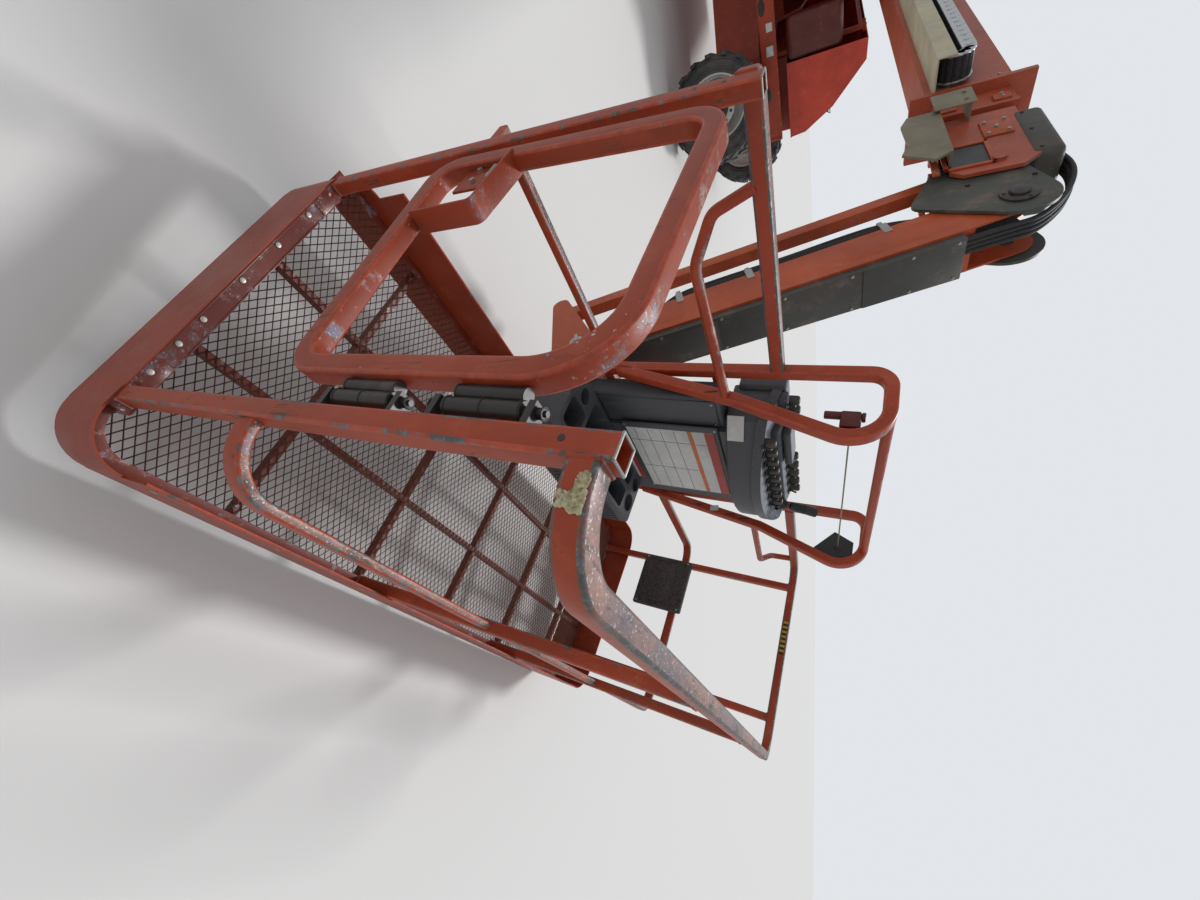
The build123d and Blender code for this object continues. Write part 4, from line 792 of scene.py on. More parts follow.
class BOOMLIFT_OT_rails(bpy.types.Operator):
    """Makes the platform's bent top rail, middle rails and posts with their worn edges"""

    bl_idname = "boomlift.rails"
    bl_label = "Rails and posts"

    def execute(self, context):
        bends = [NEAR_BEND, 90.0, 90.0]

        def outer_way(z):
            return [
                (GATE_X, RAIL_ENDS[0], z), (GATE_X, NEAR_Y, z), (FAR_X, NEAR_Y, z), (FAR_X, BOOM_Y, z),
                (GUARD_X[1] + TUBE / 2, BOOM_Y, z),
            ]

        bm = bmesh.new()
        add_tube(bm, outer_way(RAIL_Z), bends, TOP_TUBE, TOP_TUBE, (0, 0, 1), 6.0, 14)
        short = [(GATE_X, RAIL_ENDS[1]), (GATE_X, BOOM_Y), (GUARD_X[0] - TUBE / 2, BOOM_Y)]
        short = [(x, y, RAIL_Z) for x, y in short]
        add_tube(bm, short, [45.0], TOP_TUBE, TOP_TUBE, (0, 0, 1), 6.0, 12)
        piece = add_piece("top_rail_tubes", bm, ("rail_paint", "rail_edge"))
        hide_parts("top_rails")

        bm = bmesh.new()
        for x, y in POSTS:
            add_post(bm, x, y, MESH_TOP, RAIL_TOP - TOP_TUBE)
        for y in GATE_POSTS:
            add_post(bm, GATE_X, y, 0, RAIL_TOP + 12, wall=3.4)
        add_tube(bm, outer_way(477), bends, 44, 20, (0, 0, 1), 5.0, 14)
        z = 530
        add_tube(bm, [(GATE_X, 842, z), (GATE_X, 903, z)], [], 25, 25, (0, 0, 1), 4.0)
        add_tube(bm, [(GATE_X + 17, BOOM_Y, z), (GUARD_X[0] - 17, BOOM_Y, z)], [], 25, 25, (0, 0, 1), 4.0)
        piece = add_piece("post_tubes", bm, ("post_paint", "post_edge"))
        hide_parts("posts")

        # The rubbed rims of the open posts, the drain holes as black discs of painted shade, and the welds
        h = TUBE / 2 - 1.7
        bm = bmesh.new()
        for y in GATE_POSTS:
            corners = [(GATE_X + dx, y + dy) for dx, dy in ((-h, -h), (h, -h), (h, h), (-h, h), (-h, -h))]
            for start, end in zip(corners, corners[1:]):
                add_rod(bm, (*start, RAIL_TOP + 11.6), (*end, RAIL_TOP + 11.6), 1.9, 8)
        add_piece("post_rims", bm, "worn_steel")
        # Black discs of painted shade for the drain holes
        bm = bmesh.new()
        for x, y, z in ((4.4, 90, 1048), (4.4, 826, 1048), (4.4, 826, 996)):
            add_rod(bm, (x, y, z), (x + 2, y, z), 4.2, 16)
        for x, y, z in ((GATE_X, -50.3, 477), (815, -41.2, 477)):
            add_rod(bm, (x + 60, y, z), (x + 60, y + 2, z), 4.0, 16)
        add_piece("post_hole_shade", bm, "black_plastic")
        bm = bmesh.new()
        self.welds(bm)
        add_piece("rail_welds", bm, "post_paint")
        return {"FINISHED"}

    def welds(self, bm):
        """Rounded beads where the posts meet the rails and the floor."""
        for x, y in POSTS:
            for z in (MESH_TOP + 2, RAIL_TOP - TOP_TUBE - 1):
                for side in (-1, 1):
                    add_rod(bm, (x - 17, y + side * TUBE / 2, z), (x + 17, y + side * TUBE / 2, z), 3.0, 8)
                    add_rod(bm, (x + side * TUBE / 2, y - 17, z), (x + side * TUBE / 2, y + 17, z), 3.0, 8)
        for y in RAIL_ENDS:
            for x in (GATE_X - 17, GATE_X + 17):
                add_rod(bm, (x, y, RAIL_Z - 18), (x, y, RAIL_Z + 18), 3.2, 8)
            for z in (RAIL_Z - 19, RAIL_Z + 19):
                add_rod(bm, (GATE_X - 17, y, z), (GATE_X + 17, y, z), 3.2, 8)
        for y in [post + side for post in GATE_POSTS for side in (-TUBE / 2, TUBE / 2)]:
            add_rod(bm, (GATE_X - 17, y, 1.5), (GATE_X + 17, y, 1.5), 3.0, 8)


class BOOMLIFT_OT_foam(bpy.types.Operator):
    """Makes the old foam that has run down the near bend of the top rail"""

    bl_idname = "boomlift.foam"
    bl_label = "Foam"

    def execute(self, context):
        chance = random.Random(7)
        # The foam clings to the bend's outside
        outside = NEAR_BEND + TOP_TUBE / 2 + 0.6
        bm = bmesh.new()
        for k in range(210):
            along = chance.random()
            deep = 0.55 < along < 0.92
            drop = chance.random() ** 1.1 * (27 if deep else 8 + 5 * along)
            turn = math.radians(83 - 18 * along)
            x = GATE_X + NEAR_BEND - outside * math.sin(turn)
            y = NEAR_Y + NEAR_BEND - outside * math.cos(turn)
            size = 1.3 + 2.1 * chance.random()
            place = Matrix.Translation((x, y, RAIL_TOP - 5 - drop)) @ Matrix.Diagonal((1.0, 1.0, 1.15, 1.0))
            made = bmesh.ops.create_icosphere(bm, subdivisions=2, radius=size, matrix=place)
            for vert in made["verts"]:
                lump = noise.noise(vert.co * 0.6) * 1.2
                vert.co += (vert.co - place.translation).normalized() * lump
        add_piece("old_foam", bm, "old_foam", smooth=60)
        return {"FINISHED"}


class BOOMLIFT_OT_gate(bpy.types.Operator):
    """Makes the gate's bent loop, its folded bar and its latch"""

    bl_idname = "boomlift.gate"
    bl_label = "Gate"

    def execute(self, context):
        bm = bmesh.new()
        loop = [(470.5, 465), (760, 440), (735, 1063), (181, 1063), (181, 490), (470.5, 465)]
        points = [(GATE_X, y, z) for y, z in loop]
        add_tube(bm, points, [50.0, 60.0, 120.0, 60.0], 38, 38, (1, 0, 0), 6.0, 14, closed=True)
        piece = add_piece("gate_loop", bm, ("gate_paint", "gate_edge"), "gate")
        bm = bmesh.new()
        bar = [(GATE_X, y, z) for y, z in ((745, 645), (578, 632), (573, 478))]
        add_tube(bm, bar, [14.0], 50, 6, (1, 0, 0), 1.5, 8)
        add_piece("gate_flat_bar", bm, ("gate_paint", "gate_paint"), "gate")
        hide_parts("gate")

        # The latch inside the flat bar: a plate, a tongue, its spring and its pivot bolts
        bm = bmesh.new()
        add_block(bm, (GATE_X - 3, 662, 520), (GATE_X + 3, 742, 628), 1.5)
        add_block(bm, (GATE_X + 4, 688, 548), (GATE_X + 10, 772, 576), 2.0)
        add_piece("gate_latch_plate", bm, "gate_paint", "gate")
        bm = bmesh.new()
        for y, z in ((700, 600), (728, 561), (690, 561)):
            add_bolt(bm, (GATE_X - 3, y, z), (-1, 0, 0), 7.5)
            add_bolt(bm, (GATE_X + 10, y, z), (1, 0, 0), 7.5)
        for k in range(9):
            add_ring(bm, (GATE_X - 8, 676 + 5 * k, 612), (0, 1, 0), 6.5, 1.2, 16, 6)
        add_rod(bm, (GATE_X - 8, 664, 612), (GATE_X - 8, 726, 612), 2.6, 8)
        add_piece("gate_latch_steel", bm, "worn_steel", "gate")
        return {"FINISHED"}


class BOOMLIFT_OT_hinge_trim(bpy.types.Operator):
    """Adds end caps, collars and nuts to the gate's hinges"""

    bl_idname = "boomlift.hinge_trim"
    bl_label = "Hinge trim"

    def execute(self, context):
        bm = bmesh.new()
        bm_gate = bmesh.new()
        for low, high in ((640, 760), (856, 975)):
            for z, way in ((low - 25, -1), (high + 25, 1)):
                add_rod(bm, (GATE_X, HINGE_Y[0], z), (GATE_X, HINGE_Y[0], z + 2.4 * way), 9.0, 20, bevel=0.8)
                add_bolt(bm, (GATE_X, HINGE_Y[0], z + 1.6 * way), (0, 0, way), 5.2, washer=False)
            for z in (low + 3, (low + high) / 2, high - 3):
                add_ring(bm_gate, (GATE_X, HINGE_Y[0], z), (0, 0, 1), 13.2, 1.4, 24, 6)
            for z in (low + 8, high - 8):
                add_ring(bm_gate, (GATE_X, HINGE_Y[1], z), (0, 0, 1), 10.8, 1.6, 20, 6)
        add_piece("hinge_nuts", bm, "dark_shine")
        add_piece("hinge_collars", bm_gate, "dark_shine", "gate")
        return {"FINISHED"}


class BOOMLIFT_OT_guard(bpy.types.Operator):
    """Makes the bent frames and rails round the console, with what is tied to them"""

    bl_idname = "boomlift.guard"
    bl_label = "Console guard"

    def execute(self, context):
        bm = bmesh.new()
        for x, leg in ((GUARD_X[0], 562), (GUARD_X[1], 400)):
            way = ((BOOM_Y, MESH_TOP), (BOOM_Y, GUARD_TOP), (636, GUARD_TOP), (778, 978), (881.5, leg))
            add_tube(bm, [(x, *point) for point in way], [50.0, 95.0, 40.0], TUBE, TUBE, (1, 0, 0), 5.0, 12)
        for z in (515, 900):
            way = [(GUARD_X[0] + 17, BOOM_Y, z), (GUARD_X[1] - 17, BOOM_Y, z)]
            add_tube(bm, way, [], TUBE, TUBE, (0, 0, 1), 5.0)
        add_pipe(bm, [(GUARD_X[0], 742, GUARD_TOP), (GUARD_X[1], 742, GUARD_TOP)], [], 14.0)
        for sign, middle in ((1, 0.0), (-1, GUARD_X[0] + GUARD_X[1])):
            way = [(225, 883.5, 1069), (262, 865, 975), (347, 800, 937), (792, 782, 950)]
            add_pipe(bm, [(middle + sign * x, y, z) for x, y, z in way], [40.0, 60.0], 14.0, 12)
        piece = add_piece("guard_tubes", bm, ("guard_paint", "guard_edge"))
        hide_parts("console_guard")

        # A dark web in the far frame's bend, cable ties, a wire and the lamp at the near frame
        bm = bmesh.new()
        corners = {(0, 0): (708, 1185), (1, 0): (806, 1268), (1, 1): (772, 1338), (0, 1): (672, 1338)}
        for vert in add_block(bm, (GUARD_X[1] - 3, 0, 0), (GUARD_X[1] + 3, 1, 1)):
            vert.co.y, vert.co.z = corners[round(vert.co.y), round(vert.co.z)]
        add_rod(bm, (GUARD_X[1] - 5, 742, 1284), (GUARD_X[1] + 5, 742, 1284), 16, 20, bevel=1.5)
        add_piece("guard_webs", bm, "black_plastic")
        bm = bmesh.new()
        for x, z in ((1660, 905), (1660, 846), (1660, 700), (800, 905)):
            at = Vector((x, 778 + (978 - z) * 0.18, z))
            half = Vector((19.5, 0, 0))
            add_tube(bm, [at - half, at + half], [], 4, 40, (0, 0.98, -0.18), 1.5)
        add_piece("guard_ties", bm, "black_plastic")
        bm = bmesh.new()
        add_pipe(bm, [(GUARD_X[0] + 17, 742, 1288), (GUARD_X[1] - 17, 742, 1284)], [], 2.4, 2, 8)
        add_piece("guard_wire", bm, "olive")
        bm = bmesh.new()
        add_block(bm, (784, 700, 1262), (816, 752, 1312), 6)
        add_rod(bm, (800, 744, 1268), (800, 744, 1222), 11, 20, bevel=3)
        add_rod(bm, (800, 742, 1312), (800, 742, 1322), 13, 20, bevel=3)
        add_piece("guard_lamp", bm, "dark_red")
        bm = bmesh.new()
        at = Vector((GUARD_X[1], 778 + (978 - 772) * 0.207, 772))
        half = Vector((18.4, 0, 0))
        add_tube(bm, [at - half, at + half], [], 26, 36.4, (0, 0.98, -0.2), 3.0)
        add_piece("guard_white_band", bm, "white_plate")
        return {"FINISHED"}


class BOOMLIFT_OT_sill(bpy.types.Operator):
    """Adds the sill's bolts and plates, and the toe board's bolts and worn rim"""

    bl_idname = "boomlift.sill"
    bl_label = "Sill and toe board"

    def execute(self, context):
        bm = bmesh.new()
        for y in (150, 231, 306, 436, 567, 690, 780):
            add_rod(bm, (17, y, -0.5), (17, y, 3.2), 7.0, 20, bevel=1.2)
            add_rod(bm, (17, y, 3.0), (17, y, 4.4), 3.4, 6)
        for x in range(150, int(LENGTH) - 100, 298):
            for y, way in ((OUTER, -1), (INNER, 1)):
                add_rod(bm, (x, y - 0.5 * way, 52), (x, y + 3.0 * way, 52), 7.0, 16, bevel=1.0)
        add_piece("sill_bolts", bm, "bolt_steel")
        # The sill's plates take the sill's paint, darkened as painted shade
        bm = bmesh.new()
        add_block(bm, (6, 116, -1), (44, 182, 2.4), 1.0)
        add_block(bm, (6, 726, -1), (44, 800, 3.2), 1.2)
        add_block(bm, (41.5, 60, -48), (46.5, 800, 1.6), 1.2)
        add_block(bm, (4.2, 60, -3), (8, 800, 1.8), 1.0)
        add_piece("sill_plates", bm, "sill_paint")
        bm = bmesh.new()
        # columns: height, where the long sides start, the end that is rubbed
        for z, start, x in ((TOE_TOP, 112, LENGTH - TOE_WALL / 2), (TOE_BOTTOM, 110, TOE_WALL / 2)):
            for y in (OUTER + TOE_WALL / 2, INNER - TOE_WALL / 2):
                add_rod(bm, (start, y, z), (LENGTH - 110, y, z), 3.4, 8)
            add_rod(bm, (x, 60, z), (x, 800, z), 3.4, 8)
        add_piece("toe_board_rim", bm, "rim_edge")
        return {"FINISHED"}


def cut_mesh(body, cutters):
    """The first bmesh with the solids of the others taken away, as a new bmesh."""
    holders = []
    for k, bm in enumerate([body, *cutters]):
        bmesh.ops.recalc_face_normals(bm, faces=bm.faces)
        mesh = bpy.data.meshes.new("cut_part_%d" % k)
        bm.to_mesh(mesh)
        bm.free()
        holder = bpy.data.objects.new(mesh.name, mesh)
        bpy.context.scene.collection.objects.link(holder)
        holders.append(holder)
    for cutter in holders[1:]:
        modifier = holders[0].modifiers.new(cutter.name, "BOOLEAN")
        modifier.operation = "DIFFERENCE"
        modifier.solver = "EXACT"
        modifier.object = cutter
    bpy.context.view_layer.update()
    graph = bpy.context.evaluated_depsgraph_get()
    mesh = bpy.data.meshes.new_from_object(holders[0].evaluated_get(graph))
    bm = bmesh.new()
    bm.from_mesh(mesh)
    bpy.data.meshes.remove(mesh)
    for holder in holders:
        data = holder.data
        bpy.data.objects.remove(holder)
        bpy.data.meshes.remove(data)
    return bm


def box_mesh(low, high, bevel):
    """A box in a bmesh of its own, with its upright edges rounded."""
    bm = bmesh.new()
    edges = edges_of(add_block(bm, low, high))
    round_off(bm, [edge for edge in edges if abs(edge.verts[0].co.z - edge.verts[1].co.z) > 1], bevel, 4)
    return bm


class BOOMLIFT_OT_tray(bpy.types.Operator):
    """Makes the moulded tool trays at the console's foot, with their pockets and cup holes"""

    bl_idname = "boomlift.tray"
    bl_label = "Tool trays"

    def execute(self, context):
        top = 500
        body = box_mesh((680, 570, 300), (1400, 784, top), 22)
        rims = [edge for edge in body.edges if all(vert.co.z > top - 0.1 for vert in edge.verts)]
        round_off(body, rims, 5)
        cutters = []
        # columns: x from, x to, y from, y to, depth
        pockets = ((700, 812, 592, 690, 150), (832, 1000, 592, 763, 170), (1018, 1104, 600, 765, 120),
                   (1128, 1282, 584, 668, 130), (1128, 1290, 690, 765, 40))
        for x0, x1, y0, y1, depth in pockets:
            cutters.append(box_mesh((x0, y0, top - depth), (x1, y1, top + 40), 18))
        # columns: x, y, radius
        cups = ((1342, 640, 36), (1350, 730, 30), (762, 729, 30))
        for x, y, radius in cups:
            bm = bmesh.new()
            add_rod(bm, (x, y, top - 110), (x, y, top + 40), radius, 36)
            cutters.append(bm)
        bm = cut_mesh(body, cutters)
        for x, y, radius in cups:
            add_ring(bm, (x, y, top), (0, 0, 1), radius + 1, 2.2, 36, 8)
        for x in range(700, 1390, 23):
            add_rod(bm, (x, 570, 316), (x, 570, 470), 4.0, 10)
        piece = add_piece("tool_trays", bm, "console_plastic", smooth=35)
        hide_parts("tool_tray")
        return {"FINISHED"}


class BOOMLIFT_OT_console(bpy.types.Operator):
    """Dresses the console: its cover, the blank placards and the side housing"""

    bl_idname = "boomlift.console"
    bl_label = "Console"

    def execute(self, context):
        front = 784
        bm = bmesh.new()
        add_block(bm, (960, front - 7, 545), (1418, front + 4, 900), 5, 3)
        add_block(bm, (830, 800, 300), (984, 878, 925), 14, 4)
        add_block(bm, (842, 795, 318), (972, 803, 905), 6, 3)
        add_piece("console_cover", bm, "console_plastic")
        bm = bmesh.new()
        add_block(bm, (985, front - 9, 558), (1403, front - 6, 884), 1.0, 1)
        add_block(bm, (1166, front - 2.5, 481), (1364, front + 1, 520), 0.8, 1)
        add_block(bm, (1470, 874, 700), (1498, 890, 790), 1.0, 1)
        add_piece("placards", bm, "white_plate")
        bm = bmesh.new()
        add_block(bm, (985, front - 10, 850), (1403, front - 8.5, 884.4), 0.5, 1)
        add_block(bm, (1166, front - 3.4, 511), (1364, front - 2, 530), 0.5, 1)
        add_piece("placard_red_bands", bm, "red_band")
        bm = bmesh.new()
        add_block(bm, (985, front - 10, 790), (1403, front - 8.5, 806), 0.5, 1)
        add_piece("placard_orange_band", bm, "orange_band")
        bm = bmesh.new()
        for z in (640, 690, 590, 740):
            add_block(bm, (990, front - 9.5, z), (1398, front - 8.5, z + 1.6), 0, 1)
        for x in (1060, 1240):
            add_block(bm, (x, front - 9.5, 560), (x + 1.8, front - 8.5, 788), 0, 1)
        add_block(bm, (1060, front - 9.5, 808), (1062, front - 8.5, 848), 0, 1)
        add_piece("placard_lines", bm, "black_plastic", smooth=0)
        bm = bmesh.new()
        # columns: the plane, the places across, the heights
        for y, across, heights in ((front - 7, (972, 1406), (556, 889)), (795, (854, 960), (332, 893))):
            for z in heights:
                for x in across:
                    add_rod(bm, (x, y + 1, z), (x, y - 2.4, z), 5.2, 16, bevel=1.0)
        add_piece("console_screws", bm, "worn_steel")
        return {"FINISHED"}


# The control box's plan: a round front about a middle, between two sides and a back
BOX_MIDDLE = (1215, 1170)
BOX_ROUND = 502
BOX_SIDES = (900, 1528)
BOX_BACK = 926


class BOOMLIFT_OT_controls(bpy.types.Operator):
    """Makes the control box with its lip, deck, guarded switches, joystick and blank plate"""

    bl_idname = "boomlift.controls"
    bl_label = "Control box"

    def slope(self, y):
        """The height of the box's top, which rises to the back."""
        return 1044 + (y - 690) * 0.19

    def d_shape(self, bm, grow, low, rise, drop=0.0):
        """A prism with a round front and a sloping top, rise above the box's top."""
        centre = Matrix.Translation((*BOX_MIDDLE, low))
        made = bmesh.ops.create_circle(
            bm, cap_ends=True, segments=128, radius=BOX_ROUND + grow, matrix=centre)
        face = made["verts"][0].link_faces[0]
        for point, way in (
            ((BOX_SIDES[0] - grow, 0, 0), (-1, 0, 0)), ((BOX_SIDES[1] + grow, 0, 0), (1, 0, 0)),
            ((0, BOX_BACK, 0), (0, 1, 0)),
        ):
            bmesh.ops.bisect_plane(
                bm, geom=[face, *face.verts, *face.edges], dist=0.01, plane_co=point, plane_no=way,
                clear_outer=True,
            )
            flat = [item for item in bm.faces if abs(item.calc_center_median().z - low) < 0.5]
            face = next(item for item in flat if len(item.verts) > 8)
        made = bmesh.ops.extrude_face_region(bm, geom=[face])["geom"]
        verts = [item for item in made if isinstance(item, bmesh.types.BMVert)]
        bmesh.ops.translate(bm, verts=verts, vec=(0, 0, 1))
        for vert in verts:
            vert.co.z = self.slope(vert.co.y) + rise
        if drop:
            for vert in face.verts:
                vert.co.z = self.slope(vert.co.y) + rise - drop
        new = set(verts)
        return next(item for item in made if isinstance(item, bmesh.types.BMFace) and set(item.verts) <= new)

    def execute(self, context):
        bm = bmesh.new()
        self.d_shape(bm, 0.0, 934, -6)
        sharp = [edge for edge in bm.edges if len(edge.link_faces) == 2 and edge.calc_face_angle(0) > 0.6]
        round_off(bm, sharp, 9, 3)
        lip = bmesh.new()
        top = self.d_shape(lip, 9.0, 1000, 4, 30)
        bmesh.ops.inset_region(lip, faces=[top], thickness=11, depth=0.0, use_even_offset=True)
        bmesh.ops.translate(lip, verts=list(top.verts), vec=(0, 0, -7))
        body = add_piece("control_box_body", bm, "console_plastic", smooth=30)
        add_piece("control_box_lip", lip, "dusty_plastic", smooth=30)
        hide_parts("control_box")

        bm = bmesh.new()
        low, high = (985, 800), (1470, 914)
        add_block(bm, (*low, 1050), (*high, 1130), 9, 3)
        for vert in bm.verts:
            if vert.co.z > 1090:
                vert.co.z = self.slope(vert.co.y) + 22 + (vert.co.z - 1130)
        add_block(bm, (1000, 806, 1096), (1180, 884, 1122), 7, 3)
        add_block(bm, (896, 868, 1066), (952, 904, 1108), 9, 3)
        add_block(bm, (884, 900, 950), (972, 962, 1100), 14, 3)
        add_piece("control_box_deck", bm, "dusty_plastic", smooth=35)

        guards, sticks = bmesh.new(), bmesh.new()
        # columns: how many switches, the first's x, their pitch, their y, their foot above the box's top
        rows = ((8, 968, 54, 742, 0), (5, 1196, 56, 852, 22), (3, 930, 46, 886, 22))
        for count, start, pitch, y, rise in rows:
            for k in range(count):
                self.switch(guards, sticks, start + k * pitch, y, self.slope(y) + rise - 3)
        add_piece("switch_guards", guards, "switch_guard", smooth=35)
        add_piece("switch_levers", sticks, "black_plastic", smooth=35)

        bm = bmesh.new()
        base = Vector((1440, 790, self.slope(790) - 2))
        tip = Vector((1498, 800, 1200))
        way = (tip - base).normalized()
        for k in range(5):
            add_rod(bm, base + way * (7 * k), base + way * (7 * k + 6), 30 - 3.6 * k, 24, bevel=1.5)
        add_rod(bm, base + way * 30, base + way * 52, 6, 16)
        add_rod(bm, base + way * 46, tip, 15, 20, radius_end=20, bevel=7)
        for k in range(6):
            add_ring(bm, base + way * (58 + 9 * k), way, 16.0 + 0.4 * k, 1.6, 20, 6)
        add_piece("joystick", bm, "black_plastic", smooth=40)
        bm = bmesh.new()
        add_block(bm, (-42, -1.2, -26), (42, 1.2, 26), 0.6, 1)
        turn = Matrix.Translation((921, 760, 968)) @ Matrix.Rotation(math.radians(-35.3), 4, "Z")
        bmesh.ops.transform(bm, matrix=turn, space=Matrix.Identity(4), verts=bm.verts)
        add_piece("box_plate", bm, "white_plate")
        return {"FINISHED"}

    def switch(self, guards, sticks, x, y, z):
        """One toggle switch in its hooded guard."""
        verts = add_block(guards, (x - 12, y - 4, z), (x + 12, y + 16, z + 40))
        top = [edge for edge in edges_of(verts) if all(vert.co.z > z + 39 for vert in edge.verts)]
        round_off(guards, top, 8, 3)
        add_block(guards, (x - 15, y - 22, z - 1), (x + 15, y + 20, z + 4), 2, 1)
        add_rod(sticks, (x, y - 12, z + 2), (x, y - 12, z + 9), 6.5, 6)
        add_rod(sticks, (x, y - 12, z + 8), (x, y - 18, z + 30), 2.6, 10, radius_end=4.0, bevel=1.2)


class BOOMLIFT_OT_pad(bpy.types.Operator):
    """Makes the textured pad at the platform's far end and the striped strip on its rail"""

    bl_idname = "boomlift.pad"
    bl_label = "Far pad"

    def execute(self, context):
        bm = bmesh.new()
        add_block(bm, (2365, 486, 244), (2395, 790, 534), 11, 4)
        add_block(bm, (2361, 520, 330), (2367, 756, 448), 3, 3)
        for z in (262, 516):
            add_rod(bm, (2365, 508, z), (2365, 768, z), 3.6, 8)
        for y in (508, 768):
            add_rod(bm, (2365, y, 262), (2365, y, 516), 3.6, 8)
        pad = add_piece("far_end_pad", bm, "pad_rubber", smooth=40)
        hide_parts("far_pad")
        bm = bmesh.new()
        for y, z in ((504, 512), (772, 512), (504, 264), (772, 264)):
            add_rod(bm, (2363, y, z), (2366, y, z), 8, 20, bevel=1.5)
        add_piece("pad_pins", bm, "worn_steel")
        # A blank striped strip on the far rail
        x, low, high = FAR_X - 19.6, RAIL_TOP - 30, RAIL_TOP - 8
        for name, finish, start in (("dark", "black_plastic", 430), ("yellow", "yellow_band", 442)):
            bm = bmesh.new()
            for y in range(start, start + 7 * 24, 24):
                add_block(bm, (x, y, low), (x + 1, y + 12, high))
            add_piece("rail_strip_" + name, bm, finish, smooth=0)
        return {"FINISHED"}


class BOOMLIFT_OT_jib(bpy.types.Operator):
    """Adds the arm's dark front cover, pin ends, bolts, doublers and hoses, and the link's trim"""

    bl_idname = "boomlift.jib"
    bl_label = "Jib"

    def execute(self, context):
        bm = bmesh.new()
        add_block(bm, (-84, -126, -1590), (93, -121, -232), 2, 2)
        for x in (-84, 88):
            add_block(bm, (x, -124, -1590), (x + 5, -93, -232), 1.5, 1)
        add_block(bm, (-82, -124, -1590), (91, -93, -1585), 1.5, 1)
        add_block(bm, (-84, -130, -600), (93, -124, -232), 2, 2)
        add_block(bm, (-70, -128.5, -1570), (78, -124, -1180), 1.5, 2)
        add_piece("jib_front_cover", bm, "front_steel", "jib_arm", JIB)
        bm = bmesh.new()
        for z in (-260, -420, -640, -900, -1160, -1420, -1560):
            for x in (-72, 80):
                depth = -130 if z > -600 else -126
                add_bolt(bm, (x, depth, z), (0, -1, 0), 6.5)
        for x, way in ((-99, -1), (99, 1)):
            for z in (0, -ARM_LENGTH):
                add_rod(bm, (x, 0, z), (x + 16 * way, 0, z), 34, 32, bevel=3)
                add_bolt(bm, (x + 15 * way, 0, z), (way, 0, 0), 13)
                add_block(bm, (x, -52, z - 9), (x + 18 * way, 52, z + 9), 3)
        add_piece("jib_bolts", bm, "bolt_steel", "jib_arm", JIB)
        bm = bmesh.new()
        for x in (-95, 88):
            for z0, z1 in ((-620, -200), (-1660, -1300)):
                add_block(bm, (x - 0.8, -60, z0), (x + 7.8, 60, z1), 2.5, 2)
        add_piece("jib_doublers", bm, "jib_paint", "jib_arm", JIB)
        bm = bmesh.new()
        for z in (0, -ARM_LENGTH):
            for x, way in ((-67, -1), (-9, 1)):
                add_rod(bm, (x, 0, z), (x + 1.5 * way, 0, z), 26, 28, bevel=0.5)
        add_block(bm, (-66.8, -20, -1500), (-65.2, 20, -300), 0.5, 1)
        add_piece("link_trim", bm, "jib_paint", "jib_link", LINK)
        # Hoses clipped behind the arm's near edge, bowing out between their clips
        routes = []
        for k in range(4):
            y = 106 + 15 * k
            bow = 3.5 * math.sin(2.1 * k + 0.6)
            routes.append([
                (-75, 20 + 10 * k, -190), (-76, 62 + 14 * k, -300), (-82, y, -430), (-83, y + bow, -610),
                (-81, y - bow, -800), (-82, y, -985), (-83, y + bow, -1110), (-82, y, -1300),
                (-76, 54 + 12 * k, -1400), (-75, 20 + 10 * k, -1470),
            ])
        hoses = bent_bar("jib_hoses", routes, 6.5, look("hose_rubber"), JIB)
        bm = bmesh.new()
        for z in (-430, -985, -1300):
            add_block(bm, (-91, 95, z - 11), (-72, 162, z + 11), 5, 2)
            add_block(bm, (-99, 60, z - 16), (-91, 130, z + 16), 1.5, 1)
        add_piece("jib_hose_clips", bm, "worn_steel", "jib_arm", JIB)
        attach(hoses, "jib_arm")
        return {"FINISHED"}


class BOOMLIFT_OT_hoses(bpy.types.Operator):
    """Makes the hoses over the head"""

    bl_idname = "boomlift.hoses"
    bl_label = "Hoses"

    def execute(self, context):
        # The way over the head on the machine's axes, then down the arm on its own, as y and z
        over = (
            (-5205, 2396), (-5275, 2424), (-5370, 2438), (-5470, 2420), (-5575, 2376), (-5658, 2320),
            (-5714, 2262),
        )
        down = ((-114, -70), (-112, -160), (-111, -260), (-111, -420))
        routes = []
        for k in range(4):
            x = -66 + 18.8 * k
            low = 3 * (k % 2)
            way = [(x, -5140, 2376)] + [(x, y, z - low) for y, z in over]
            routes.append(way + [MACHINE.inverted() @ (JIB @ Vector((x, *point))) for point in down])
        arch = bent_bar("head_hoses", routes, 9.0, look("hose_rubber"), MACHINE)
        start, end = MACHINE @ Vector((0, -5560, 2400)), MACHINE @ Vector((0, -5745, 2150))
        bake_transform(arch, "head", "jib_arm", start=start, end=end)
        return {"FINISHED"}


class BOOMLIFT_OT_head(bpy.types.Operator):
    """Adds the head's pin heads and bolts"""

    bl_idname = "boomlift.head"
    bl_label = "Head"

    def execute(self, context):
        bm = bmesh.new()
        for side in (-1, 1):
            x = side * 112
            for y, z, radius in ((-5340, 2200, 46), (*ARM_PIN, 62), (*LINK_PIN, 30)):
                add_rod(bm, (x, y, z), (x + 9 * side, y, z), radius, 36, bevel=2.5)
                add_rod(bm, (x + 8 * side, y, z), (x + 20 * side, y, z), radius * 0.55, 28, bevel=2.5)
                for k in range(3):
                    turn = math.radians(30 + 120 * k)
                    dy, dz = radius * 0.78 * math.cos(turn), radius * 0.78 * math.sin(turn)
                    add_bolt(bm, (x + 8 * side, y + dy, z + dz), (side, 0, 0), 6.5, washer=False)
            for y, z in ((-5321, 2290), (-5372, 2096), (-5480, 2290), (-5470, 2080)):
                add_bolt(bm, (x, y, z), (side, 0, 0), 9.0)
        add_piece("head_pins", bm, "dark_shine", "head", MACHINE)
        return {"FINISHED"}


